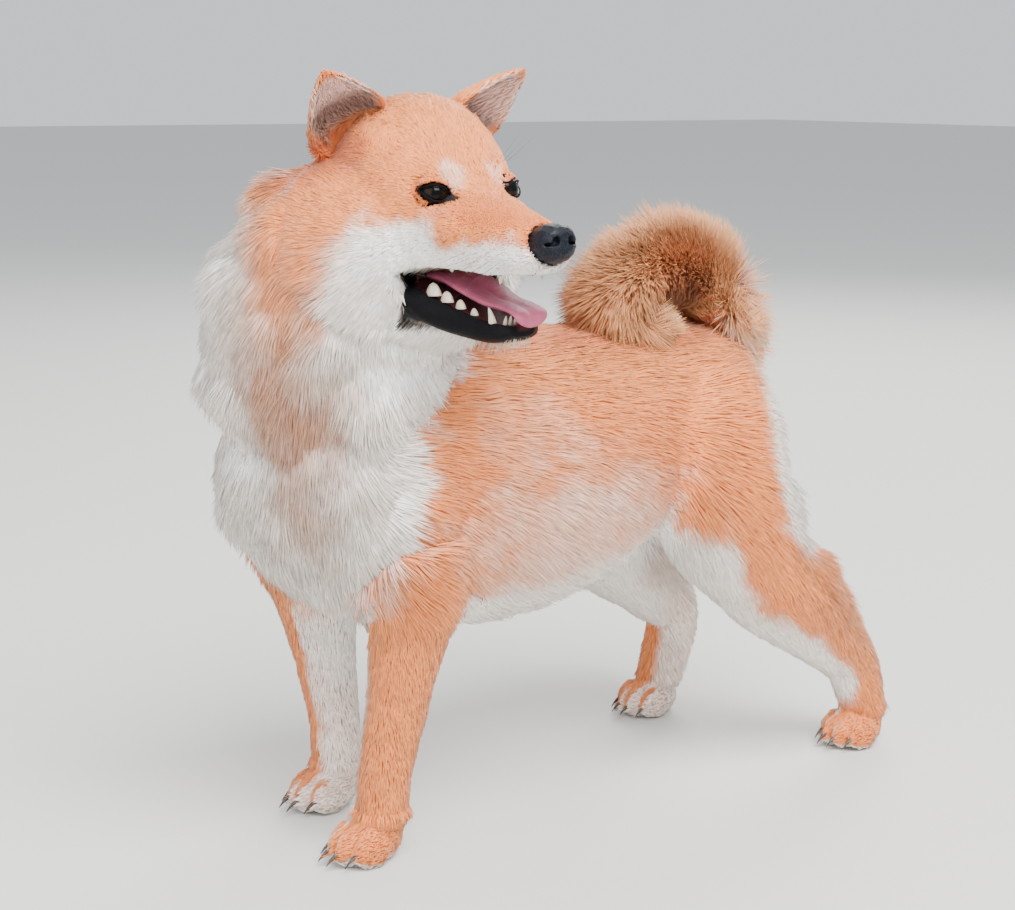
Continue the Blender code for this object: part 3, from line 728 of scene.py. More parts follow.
@dataclass(frozen=True)
class CoatColours:
    """Colours of the coat and the skin, as linear light."""

    red: Triple = (0.82, 0.235, 0.060)
    # deeper red, also used as painted shade in the ears' root folds and the tail's curl
    saddle: Triple = (0.60, 0.135, 0.036)
    cream: Triple = (0.94, 0.90, 0.85)
    # painted shade for the ear cups, the chest's band and the tail's hollow
    dark: Triple = (0.060, 0.026, 0.020)
    bare: Triple = (0.70, 0.50, 0.47)
    # pale tips, pushed further on the tail's outer edge as painted light
    tip: Triple = (0.98, 0.58, 0.27)
    # painted shade: multiplied over the tufts' roots and over the skin between them
    root: Triple = (0.78, 0.64, 0.57)
    black: Triple = (0.004, 0.004, 0.005)

    def marked(self, graph: Graph) -> Wire:
        """The coat's colour from the masks, mottled by noise.

        Args:
            graph: The material's graph.

        Returns:
            The colour.
        """
        patchy = graph.grain(38.0, 4.0)
        cream, dark, saddle = (graph.attribute(m.value) for m in (Mask.CREAM, Mask.DARK, Mask.SADDLE))
        # deeper red, and painted shade where this mask marks folds and the tail's curl
        red = graph.blend((saddle + (patchy - 0.5) * 0.5).between(0.0, 1.0), self.red, self.saddle)
        tone = graph.blend((cream + (patchy - 0.5) * 0.30).between(0.04, 0.96), red, self.cream)
        # painted shade where the dark mask is set
        return graph.blend(dark, tone, self.dark)


@dataclass(frozen=True)
class Patch:
    """A soft-edged egg-shaped part of a marking or of painted shade; a strength below 0 takes it away there.
    """

    mask: Mask
    frame: Frame
    centre: Triple
    radii: Triple
    strength: float = 1.0
    edge: float = 0.42

    def both(self) -> tuple["Patch", "Patch"]:
        """The patch and its mirror image on the dog's left."""
        x, y, z = self.centre
        return self, replace(self, centre=(x, -y, z))


@dataclass
class MarkingsAndShade:
    """Where the coat is cream or deeper red, where shade is painted on it, and where the skin is bare."""

    stance: Stance
    patches: tuple[Patch, ...] = (
        # neck and chest: pale, with white sides and a tan band
        Patch(Mask.CREAM, Frame.BODY, (0.080, 0.020, 0.330), (0.080, 0.115, 0.150), 0.78, 0.7),
        Patch(Mask.CREAM, Frame.BODY, (0.078, -0.030, 0.412), (0.055, 0.080, 0.074), 0.80, 0.8),
        Patch(Mask.CREAM, Frame.BODY, (0.050, 0.100, 0.395), (0.062, 0.060, 0.060), 0.85),
        Patch(Mask.CREAM, Frame.BODY, (0.095, 0.000, 0.262), (0.050, 0.055, 0.065)),
        Patch(Mask.CREAM, Frame.BODY, (0.052, 0.080, 0.290), (0.036, 0.036, 0.060)),
        Patch(Mask.CREAM, Frame.BODY, (0.078, 0.010, 0.222), (0.055, 0.070, 0.050)),
        Patch(Mask.CREAM, Frame.BODY, (0.030, 0.085, 0.375), (0.050, 0.045, 0.040)),
        Patch(Mask.CREAM, Frame.BODY, (0.084, 0.056, 0.310), (0.034, 0.030, 0.060), -0.34, 0.9),
        Patch(Mask.CREAM, Frame.BODY, (0.085, 0.066, 0.365), (0.045, 0.035, 0.035), -0.36, 0.9),
        Patch(Mask.CREAM, Frame.BODY, (0.100, 0.040, 0.405), (0.040, 0.035, 0.045), -0.30, 0.9),
        # belly and insides of the legs
        Patch(Mask.CREAM, Frame.BODY, (-0.145, 0.000, 0.142), (0.180, 0.080, 0.042)),
        Patch(Mask.CREAM, Frame.BODY, (-0.270, 0.000, 0.200), (0.075, 0.058, 0.090)),
        Patch(Mask.CREAM, Frame.BODY, (-0.256, 0.082, 0.178), (0.042, 0.056, 0.046), 0.95),
        Patch(Mask.CREAM, Frame.BODY, (-0.330, 0.090, 0.102), (0.058, 0.050, 0.026), 0.95),
        Patch(Mask.CREAM, Frame.BODY, (-0.398, 0.080, 0.058), (0.042, 0.040, 0.028), 0.75),
        Patch(Mask.CREAM, Frame.BODY, (-0.262, -0.085, 0.165), (0.040, 0.060, 0.045), 0.9),
        Patch(Mask.CREAM, Frame.BODY, (-0.310, -0.090, 0.115), (0.050, 0.050, 0.030), 0.9),
        Patch(Mask.CREAM, Frame.BODY, (-0.020, 0.030, 0.150), (0.035, 0.030, 0.110), 0.9),
        Patch(Mask.CREAM, Frame.BODY, (-0.034, -0.026, 0.150), (0.030, 0.022, 0.110), 0.85),
        # pale flank
        Patch(Mask.CREAM, Frame.BODY, (-0.130, 0.085, 0.240), (0.110, 0.060, 0.050), 0.46, 1.2),
        Patch(Mask.CREAM, Frame.BODY, (-0.075, 0.088, 0.318), (0.050, 0.040, 0.030), 0.26, 1.2),
        Patch(Mask.CREAM, Frame.BODY, (-0.130, -0.085, 0.245), (0.110, 0.060, 0.045), 0.38, 1.2),
        # breeches and under the tail
        Patch(Mask.CREAM, Frame.BODY, (-0.347, 0.088, 0.270), (0.045, 0.042, 0.086), 0.95),
        Patch(Mask.CREAM, Frame.BODY, (-0.347, -0.084, 0.266), (0.045, 0.042, 0.086), 0.95),
        Patch(Mask.CREAM, Frame.BODY, (-0.362, 0.048, 0.266), (0.046, 0.050, 0.092), 0.92, 0.7),
        Patch(Mask.CREAM, Frame.BODY, (-0.362, -0.046, 0.262), (0.046, 0.050, 0.092), 0.92, 0.7),
        Patch(Mask.CREAM, Frame.BODY, (-0.386, 0.012, 0.345), (0.030, 0.050, 0.064), 0.95),
        # muzzle, cheeks, throat and brows
        Patch(Mask.CREAM, Frame.HEAD, (-0.066, -0.094, -0.020), (0.030, 0.034, 0.055), -0.70, 0.8),
        Patch(Mask.CREAM, Frame.HEAD, (0.040, 0.000, -0.056), (0.062, 0.060, 0.032)),
        *Patch(Mask.CREAM, Frame.HEAD, (-0.010, -0.058, -0.046), (0.042, 0.036, 0.036)).both(),
        Patch(Mask.CREAM, Frame.HEAD, (-0.040, 0.000, -0.090), (0.060, 0.070, 0.036)),
        *Patch(Mask.CREAM, Frame.HEAD, (0.004, -0.017, 0.015), (0.015, 0.009, 0.010), 0.38, 1.0).both(),
        *Patch(Mask.CREAM, Frame.HEAD, (0.005, -0.036, -0.008), (0.016, 0.010, 0.006), 0.14, 1.0).both(),
        # shade on the chest's band and in the hollow of the tail
        Patch(Mask.DARK, Frame.BODY, (0.084, 0.056, 0.300), (0.046, 0.040, 0.085), 0.40, 1.2),
        Patch(Mask.DARK, Frame.BODY, (0.085, 0.062, 0.370), (0.050, 0.042, 0.060), 0.26, 1.2),
        Patch(Mask.DARK, Frame.BODY, (-0.298, 0.010, 0.388), (0.034, 0.060, 0.026), 0.60, 0.8),
        # deeper red on the back, the nape and one eye's corner, and painted shade in the folds at the ears'
        # roots and inside the tail's curl
        Patch(Mask.SADDLE, Frame.BODY, (-0.200, 0.000, 0.400), (0.220, 0.075, 0.055), 0.8, 0.6),
        *Patch(Mask.SADDLE, Frame.HEAD, (-0.090, -0.055, 0.020), (0.035, 0.030, 0.040), 0.8, 0.6).both(),
        Patch(Mask.SADDLE, Frame.HEAD, (0.012, -0.026, -0.010), (0.016, 0.010, 0.008), 0.6, 0.6),
        # painted shade inside the tail's curl
        Patch(Mask.SADDLE, Frame.BODY, (-0.286, 0.010, 0.388), (0.040, 0.040, 0.026), 1.0, 0.6),
        Patch(Mask.SADDLE, Frame.BODY, (-0.258, 0.012, 0.384), (0.050, 0.050, 0.018), 0.9, 0.6),
        # painted shade in the folds at the ears' roots
        *Patch(Mask.SADDLE, Frame.HEAD, (-0.060, -0.062, 0.036), (0.016, 0.016, 0.014), 1.0, 0.8).both(),
    )

    def paint(self, made: bpy.types.Object, fades: dict[Mask, np.ndarray]) -> None:
        """Stores the masks on a mesh.

        Args:
            made: The mesh.
            fades: Masks already known on its vertices, which the patches add to.
        """
        spots = points_of(made)
        frames = {Frame.BODY: self.stance.in_body(spots), Frame.HEAD: self.stance.in_head(spots)}
        ragged = 0.10 * wander(spots, 60.0) + 0.07 * wander(spots, 150.0, 3.0)
        for mask in Mask:
            value = fades.get(mask, np.zeros(len(spots))).copy()
            for patch in (p for p in self.patches if p.mask is mask):
                offset = (frames[patch.frame] - np.array(patch.centre)) / np.array(patch.radii)
                depth = 1 - np.linalg.norm(offset, axis=1) + ragged * patch.edge / 0.3
                share = abs(patch.strength) * smooth(-patch.edge / 2, patch.edge / 2, depth)
                value = value * (1 - share) + (share if patch.strength > 0 else 0)
            store(made, mask.value, value)


class Region(Enum):
    """The parts that the coat is made in: name, how many tufts, and their width in metres."""

    FACE_LEFT = ("coat_face_left", 30000, 0.00085)
    FACE_RIGHT = ("coat_face_right", 48000, 0.00080)
    NECK_FRONT = ("coat_neck_front", 48000, 0.00120)
    NECK_BACK = ("coat_neck_back", 32000, 0.00140)
    FLANK_LEFT = ("coat_flank_left", 48500, 0.00115)
    FLANK_RIGHT = ("coat_flank_right", 30000, 0.00145)
    FORELEGS = ("coat_forelegs", 32000, 0.00100)
    HINDLEG_LEFT = ("coat_hindleg_left", 30000, 0.00110)
    HINDLEG_RIGHT = ("coat_hindleg_right", 20000, 0.00130)
    TAIL_RIGHT = ("coat_tail_right", 24000, 0.00125)
    TAIL_LEFT = ("coat_tail_left", 28000, 0.00120)


@dataclass
class Hide:
    """The skin under the coat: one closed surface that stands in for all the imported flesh."""

    stance: Stance
    markings_and_shade: MarkingsAndShade
    body_depth: float = 0.0070
    band: float = 0.020
    core_grow: float = 0.0006
    core_voxel: float = 0.0030
    core_passes: int = 30
    voxel: float = 0.0015
    passes: int = 4
    faces: int = 176000
    lids_reach: float = 0.020
    flesh: tuple[str, ...] = (
        "head", "ear_left", "ear_right", "neck", "torso", "foreleg_left", "foreleg_right", "hindleg_left",
        "hindleg_right", "paw_front_left", "paw_front_right", "paw_hind_left", "paw_hind_right",
    )
    thin: tuple[tuple[str, float], ...] = (
        ("head", -0.0016), ("ear_left", -0.0007), ("ear_right", -0.0007), ("foreleg_left", -0.0030),
        ("foreleg_right", -0.0030), ("paw_front_left", -0.0010), ("paw_front_right", -0.0010),
        ("paw_hind_left", -0.0010), ("paw_hind_right", -0.0010),
    )

    def build(self, colours: CoatColours) -> bpy.types.Object:
        """Makes the skin with its fields and finish.

        Args:
            colours: The coat's colours, which the skin shares.

        Returns:
            The skin.
        """
        solids = [copied(node, self.core_grow) for node in self.flesh]
        whole = remeshed(merged("whole", solids), self.core_voxel, 0)
        core = remeshed(self.eroded(whole), self.core_voxel, self.core_passes)
        pieces = [core] + [copied(node, grow) for node, grow in self.thin] + self.limbs()
        made = remeshed(merged("skin", pieces), self.voxel, self.passes)
        thin = made.modifiers.new("thin", "DECIMATE")
        thin.ratio = self.faces / (2 * len(made.data.polygons))
        baked(made)
        self.keep_outer(made)
        spots = points_of(made)
        spots[:, 2] = np.maximum(spots[:, 2], FLOOR_GAP)
        move_points(made, spots)
        self.set_lids(made)
        self.unwrap(made)
        self.fields(made)
        finish = Finish("skin", 0.62, specular=0.3)
        dress(made, finish.surface(lambda graph: self.paint(graph, colours)))
        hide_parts(*self.flesh, "tail_base", "tail_middle", "tail_tip")
        return made

    def eroded(self, whole: bpy.types.Object) -> bpy.types.Object:
        """The whole with everything within the coat's depth of its surface taken off, so its locks go.

        Args:
            whole: The object, changed in place.

        Returns:
            The same object.
        """
        tree = bpy.data.node_groups.new("erode", "GeometryNodeTree")
        for way in ("INPUT", "OUTPUT"):
            tree.interface.new_socket("Geometry", in_out=way, socket_type="NodeSocketGeometry")
        depth = tree.interface.new_socket("Depth", in_out="INPUT", socket_type="NodeSocketFloat")
        graph = Graph(tree)
        source = graph.node("NodeGroupInput")
        share = graph.arithmetic("DIVIDE", graph.node("NodeGroupInput", out="Depth"), self.band)
        fog = graph.node(
            "GeometryNodeMeshToVolume",
            {"resolution_mode": "VOXEL_SIZE"},
            {"Mesh": source, "Voxel Size": self.core_voxel, "Interior Band Width": self.band},
        )
        shell = graph.node("GeometryNodeVolumeToMesh", {}, {"Volume": fog, "Threshold": share})
        graph.node("NodeGroupOutput", {}, {"Geometry": shell})
        modifier = whole.modifiers.new("erode", "NODES")
        modifier.node_group = tree
        modifier[depth.identifier] = self.body_depth
        return baked(whole)

    def limbs(self) -> list[bpy.types.Object]:
        """The lower hind legs and the tail's core, on their own bone lines.

        Returns:
            The tubes.
        """
        place = Matrix.Translation(self.stance.shift)
        legs = [tube(f"shank_{side.name}", line, place, 24, 20) for side, line in HIND_LINES.items()]
        return [*legs, tube("tail_core", TAIL_LINE, place, 40, 20)]

    @staticmethod
    def keep_outer(made: bpy.types.Object) -> None:
        """Drops all but the largest closed surface.

        Args:
            made: The skin.
        """
        bm = bmesh.new()
        bm.from_mesh(made.data)
        left, shells = set(bm.verts), []
        while left:
            shell, edge = set(), [left.pop()]
            while edge:
                vert = edge.pop()
                shell.add(vert)
                for link in vert.link_edges:
                    other = link.other_vert(vert)
                    if other in left:
                        left.remove(other)
                        edge.append(other)
            shells.append(shell)
        shells.sort(key=len)
        for shell in shells[:-1]:
            bmesh.ops.delete(bm, geom=list(shell), context="VERTS")
        bm.to_mesh(made.data)
        bm.free()

    def set_lids(self, made: bpy.types.Object) -> None:
        """Refines the skin round the eyes, lays it over them as lids, and sinks it in their openings.

        Args:
            made: The skin.
        """
        eyes = Eyes(self.stance)
        frames = [eyes.frame(side) for side in Side]
        bm = bmesh.new()
        bm.from_mesh(made.data)
        edges = [
            edge
            for edge in bm.edges
            if any((edge.verts[0].co - frame.translation).length < self.lids_reach for frame in frames)
        ]
        bmesh.ops.subdivide_edges(bm, edges=edges, cuts=1, use_grid_fill=True)
        bmesh.ops.triangulate(bm, faces=[f for f in bm.faces if len(f.verts) > 4])
        bm.to_mesh(made.data)
        bm.free()
        spots = points_of(made)
        for frame in frames:
            seen = seen_from(frame, spots)
            reach = np.maximum(np.linalg.norm(seen, axis=1), 1e-6)
            rho = eyes.opening_share(seen / reach[:, None] * eyes.lid_radius)
            near = smooth(0.021, 0.017, reach) * smooth(0.0, 0.003, seen[:, 0])
            target = eyes.sunk + (eyes.lid_radius - eyes.sunk) * smooth(0.92, 1.10, rho)
            change = target - reach
            outer = smooth(1.45, 1.75, rho)
            change = (1 - outer) * change + outer * np.maximum(change, 0) * smooth(3.4, 2.2, rho)
            spots += (near * change / reach)[:, None] * (seen @ np.array(frame.to_3x3()).T)
        move_points(made, spots)

    @staticmethod
    def unwrap(made: bpy.types.Object) -> None:
        """Unwraps the skin's own shape into the UV map that skin and coat share.

        Args:
            made: The skin.
        """
        made.data.uv_layers.new(name=BAKE_MAP)
        bpy.ops.object.select_all(action="DESELECT")
        made.select_set(True)
        bpy.context.view_layer.objects.active = made
        bpy.ops.object.mode_set(mode="EDIT")
        bpy.ops.mesh.select_all(action="SELECT")
        bpy.ops.uv.smart_project(angle_limit=radians(72), island_margin=0.002)
        bpy.ops.object.mode_set(mode="OBJECT")

    def fields(self, made: bpy.types.Object) -> None:
        """Stores masks, the lie of the coat, its length and lift, and its regions on the skin.

        Args:
            made: The skin.
        """
        spots, normals = points_of(made), normals_of(made)
        body, head = self.stance.in_body(spots), self.stance.in_head(spots)
        places = Places(self.stance, spots, normals, body, head)
        self.markings_and_shade.paint(made, places.fades())
        comb, length, lift, thick = places.coat()
        for name, values in (
            ("comb", comb),
            ("length", length),
            ("lift", lift),
            ("thick", thick),
            ("region", places.regions()),
            ("lips", places.lips),
        ):
            store(made, name, values)

    @staticmethod
    def paint(graph: Graph, colours: CoatColours) -> tuple[Wire, Wire, None]:
        """Skin: the coat's own colours with painted shade between the tufts, bare and black places, and
        painted shade in the ear cups.

        Args:
            graph: The material's graph.
            colours: The coat's colours.

        Returns:
            Colour, height and no roughness.
        """
        # painted shade between the tufts: the root colour multiplied over the whole skin
        coat = graph.blend(1.0, colours.marked(graph), colours.root, "MULTIPLY")
        bare = graph.blend(graph.attribute(Mask.BARE.value), coat, colours.bare)
        # painted shade low in the bare ear cups
        hollow_shade = graph.attribute(Mask.DARK.value) * graph.attribute(Mask.BARE.value)
        bare = graph.blend(hollow_shade, bare, colours.dark)
        lips = graph.blend(graph.attribute("lips"), bare, colours.black)
        return lips, graph.grain(900.0, 2.0, (1, 1, 0.4)), None


@dataclass
class Places:
    """What grows where: fields of the coat worked out at every vertex of the skin."""

    stance: Stance
    spots: np.ndarray
    normals: np.ndarray
    body: np.ndarray
    head: np.ndarray

    def __post_init__(self) -> None:
        """Works out how much each vertex belongs to head, ears, neck, legs, paws and tail."""
        p, q = self.body, self.head
        x, y, z = p.T
        self.is_head = smooth(-0.012, 0.012, (q - np.array((-0.080, 0, -0.020))) @ np.array((0.91, 0, 0.415)))
        self.is_head *= smooth(0.20, 0.24, z) * smooth(0.030, 0.045, y + 0.25 * (z - 0.40))
        self.ear = {side: self.ear_share(side) for side in Side}
        self.is_ear = np.maximum(*self.ear.values())
        line = eased(TAIL_LINE, 60)
        gaps = np.linalg.norm(p[:, None, :] - line[None, :, :3], axis=2)
        self.along_tail = gaps.argmin(axis=1)
        near = gaps.min(axis=1)
        over_rump = z + 0.35 * smooth(-0.33, -0.36, x) * 0.05
        self.is_tail = smooth(0.030, 0.022, near) * smooth(0.345, 0.362, over_rump)
        self.tail_line = line
        low = smooth(0.215, 0.170, z)
        self.is_foreleg = low * smooth(-0.075, -0.055, x)
        self.is_hindleg = smooth(0.250, 0.180, z) * smooth(-0.220, -0.300, x)
        self.is_paw = smooth(0.040, 0.026, z)
        off_head = 1 - self.is_head
        self.is_neck = smooth(0.330, 0.375, z + 0.35 * np.clip(x, -0.1, 0.1))
        self.is_neck = self.is_neck * smooth(-0.085, -0.045, x + 0.2 * y) * off_head
        self.is_chest = smooth(0.030, 0.060, x) * smooth(0.17, 0.22, z) * off_head * (1 - self.is_foreleg)
        self.lips = self.black_places()

    def black_places(self) -> np.ndarray:
        """1 on the upper lip's edge, inside the mouth and round the openings of the eyes.

        Returns:
            The share of black at each vertex.
        """
        x, y, z = self.head.T
        edge = np.interp(x, (-0.044, -0.014, 0.040), (-0.0485, -0.0435, -0.0500))
        half = np.interp(x, (-0.044, -0.020, 0.020, 0.060, 0.085), (0.034, 0.043, 0.032, 0.026, 0.015))
        share = smooth(0.0030, 0.0010, z - edge) * smooth(-0.049, -0.043, x) * smooth(-0.088, -0.080, z)
        share *= smooth(0.006, 0.002, np.abs(y) - half)
        eyes = Eyes(self.stance)
        self.round_eye = np.zeros(len(x))
        for side in Side:
            seen = seen_from(eyes.frame(side), self.spots)
            rho = eyes.opening_share(seen)
            front = smooth(0.001, 0.004, seen[:, 0])
            share = np.maximum(share, smooth(1.65, 1.38, rho) * front)
            self.round_eye = np.maximum(self.round_eye, smooth(3.4, 1.6, rho) * front)
        return share

    def ear_axes(self, side: Side) -> tuple[Vector, Vector, Vector, Vector, float]:
        """An ear's base, up, facing and across directions, and its height, in the head's frame.

        Args:
            side: The dog's left or right.

        Returns:
            The base, the three directions and the height.
        """
        base, tip = (Vector((v.x, v.y * side.value, v.z)) for v in (EAR_BASE, EAR_TIP))
        up = (tip - base).normalized()
        facing = Vector((1.0, side.value * 0.62, 0.0))
        facing = (facing - facing.dot(up) * up).normalized()
        return base, up, facing, up.cross(facing), (tip - base).length

    def ear_rise(self, side: Side) -> np.ndarray:
        """How far up the ear each vertex is, from 0 at its base to 1 at its tip."""
        base, up, _, _, height = self.ear_axes(side)
        return (self.head - np.array(base)) @ np.array(up) / height

    def ear_share(self, side: Side) -> np.ndarray:
        """1 on the ear's blade, 0 off it.

        Args:
            side: The dog's left or right.

        Returns:
            The share at each vertex.
        """
        base, up, _, across, height = self.ear_axes(side)
        offset = self.head - np.array(base)
        rise, aside = offset @ np.array(up) / height, offset @ np.array(across)
        return smooth(0.02, 0.16, rise) * smooth(1.3, 1.05, np.abs(aside) / EAR_WIDTH)

    def inner_ear(self, side: Side) -> np.ndarray:
        """1 in the cup of the ear.

        Args:
            side: The dog's left or right.

        Returns:
            The share at each vertex.
        """
        base, up, facing, across, height = self.ear_axes(side)
        turned = self.normals @ np.array(self.stance.head.to_3x3()) @ np.array(facing)
        offset = self.head - np.array(base)
        aside = np.abs(offset @ np.array(across)) / EAR_WIDTH
        rise = smooth(0.97, 0.84, self.ear_rise(side))
        return self.ear[side] * smooth(0.25, 0.6, turned) * smooth(0.86, 0.66, aside) * rise

    def fades(self) -> dict[Mask, np.ndarray]:
        """Masks that follow the form: undersides are cream, ear cups are bare with painted shade low in them,
        and tips are pale with painted light on the tail's outer edge.

        Returns:
            Values from 0 to 1 at each vertex, by mask.
        """
        p, n = self.body, self.normals
        under = smooth(-0.25, -0.70, n[:, 2]) * smooth(0.30, 0.24, p[:, 2])
        under = under * (1 - self.is_head) * (1 - self.is_tail)
        inward = sum(smooth(0.1, 0.6, -n[:, 1] * side.value) * (p[:, 1] * side.value > 0) for side in Side)
        legs = np.maximum(self.is_foreleg, self.is_hindleg) * inward * smooth(0.22, 0.15, p[:, 2])
        cup = np.maximum(self.inner_ear(Side.LEFT), self.inner_ear(Side.RIGHT))
        # painted shade low in the ear cups
        concha_shade = self.inner_ear(Side.RIGHT) * smooth(0.62, 0.36, self.ear_rise(Side.RIGHT))
        concha_shade = np.maximum(concha_shade, self.inner_ear(Side.LEFT) * smooth(0.40, 0.16, self.ear_rise(Side.LEFT)))
        # pale tips everywhere, and painted light on the tail's outer edge
        outer = smooth(0.024, 0.046, np.linalg.norm((p - TAIL_EYE)[:, ::2], axis=1))
        frost = 0.18 + 0.50 * self.is_tail * outer
        cream = np.maximum.reduce((under, 0.70 * legs, 0.55 * cup, 0.06 * self.is_tail))
        return {Mask.CREAM: cream, Mask.BARE: cup, Mask.DARK: 0.80 * concha_shade, Mask.FROST: frost}

    def coat(self) -> tuple[np.ndarray, np.ndarray, np.ndarray, np.ndarray]:
        """The coat's lie, length, lift and thickness.

        Returns:
            Unit directions along the skin, lengths in metres, lifts in radians, and the share of tufts kept.
        """
        p, n = self.body, self.normals
        count = len(p)
        lie = np.tile(np.array((-1.0, 0.0, -0.22)), (count, 1))
        lie[:, 2] -= 0.5 * smooth(0.33, 0.22, p[:, 2])
        length, lift, thick = np.full(count, 0.025), np.full(count, radians(12)), np.ones(count)
        breeches = self.is_hindleg * smooth(0.0, -0.5, n[:, 0]) * smooth(0.10, 0.16, p[:, 2])
        rump = smooth(-0.30, -0.35, p[:, 0]) * smooth(0.16, 0.22, p[:, 2]) * (1 - self.is_tail)
        for share, way, reach, angle in (
            (self.is_chest, (-0.15, 0.0, -1.0), 0.030, 13),
            (self.is_neck, (-0.10, -0.35, -0.95), 0.031, 12),
            (rump, (-0.45, 0.0, -1.0), 0.030, 15),
            (self.is_foreleg, (-0.10, 0.0, -1.0), 0.0115, 11),
            (self.is_hindleg, (-0.55, 0.0, -0.85), 0.015, 12),
            (breeches, (-0.5, 0.0, -0.85), 0.032, 19),
            (self.is_paw, (0.9, 0.0, -0.10), 0.0052, 12),
        ):
            lie += share[:, None] * (np.array(way) - lie)
            length += share * (reach - length)
            lift += share * (radians(angle) - lift)
        lie = self.head_lie(lie, length, lift, thick)
        bone = self.tail_line[self.along_tail, :3]
        ahead = np.gradient(self.tail_line[:, :3], axis=0)[self.along_tail]
        lie = lie + self.is_tail[:, None] * (unit(ahead) - lie)
        inward = (unit(p - bone) * unit(TAIL_MIDDLE - bone)).sum(axis=1)
        base = self.is_tail * smooth(22, 10, self.along_tail.astype(float)) * smooth(0.2, -0.3, n[:, 0])
        lie += base[:, None] * (np.array((-0.20, 0.0, -1.0)) - lie)
        length += self.is_tail * (0.044 - 0.014 * smooth(0.1, 0.8, inward) - length)
        lift += self.is_tail * (radians(39) - radians(21) * base - lift)
        comb = unit(lie - (lie * n).sum(axis=1, keepdims=True) * n)
        thick *= smooth(0.0015, 0.0045, self.spots[:, 2])
        thick *= smooth(0.0135, 0.0170, np.linalg.norm(self.head - np.array(NOSE_PLACE), axis=1))
        return comb, length, lift, thick * (1 - self.lips)

    def head_lie(
        self, lie: np.ndarray, length: np.ndarray, lift: np.ndarray, thick: np.ndarray
    ) -> np.ndarray:
        """Changes the fields on the head and ears in place, and returns the lie.

        Args:
            lie: The coat's directions on the body.
            length: Its length.
            lift: Its lift.
            thick: Its thickness.

        Returns:
            The directions on body and head.
        """
        q = self.head
        side = np.sign(q[:, 1]) + (q[:, 1] == 0)
        ways = np.tile(np.array((-1.0, 0.0, 0.0)), (len(q), 1))
        cheek = smooth(0.0, -0.05, q[:, 2]) * smooth(0.01, -0.03, q[:, 0])
        ways[:, 2] -= 0.55 * cheek
        ways[:, 1] += 0.35 * cheek * side
        ways[:, 2] -= 0.25 * smooth(-0.012, -0.025, q[:, 2]) * smooth(0.0, 0.02, q[:, 0])
        reach = 0.0036 + 0.0034 * smooth(0.05, -0.02, q[:, 0]) + 0.0035 * smooth(-0.02, -0.07, q[:, 0])
        reach += 0.012 * cheek * smooth(-0.01, -0.06, q[:, 0])
        reach *= 1 - 0.72 * self.round_eye
        angle = radians(10) + radians(5) * cheek
        for ear in Side:
            share = self.ear[ear][:, None]
            _, up, _, across, _ = self.ear_axes(ear)
            ways = ways + share * (np.array(up) - ways)
            reach = reach + self.ear[ear] * (0.0050 + 0.004 * self.inner_ear(ear) - reach)
            thick *= 1 - 0.88 * self.inner_ear(ear)
        lie = lie + self.is_head[:, None] * (self.stance.head_vectors(ways) - lie)
        length += self.is_head * (reach - length)
        lift += self.is_head * (angle - lift)
        return lie

    def regions(self) -> np.ndarray:
        """The number of each vertex's region, in the order of Region.

        Returns:
            The numbers.
        """
        p = self.body
        left, front = p[:, 1] > 0, p[:, 0] + 0.6 * p[:, 1] > 0.055
        names = list(Region)
        out = np.where(left, names.index(Region.FLANK_LEFT), names.index(Region.FLANK_RIGHT)).astype(float)
        for share, near, first, second in (
            (self.is_neck + self.is_chest, front, Region.NECK_FRONT, Region.NECK_BACK),
            (self.is_foreleg, left, Region.FORELEGS, Region.FORELEGS),
            (self.is_hindleg, left, Region.HINDLEG_LEFT, Region.HINDLEG_RIGHT),
            (self.is_head, self.head[:, 1] > 0, Region.FACE_LEFT, Region.FACE_RIGHT),
            (self.is_tail, p[:, 1] > 0.008, Region.TAIL_LEFT, Region.TAIL_RIGHT),
        ):
            here = share > 0.5
            out[here & near] = names.index(first)
            out[here & ~near] = names.index(second)
        return out


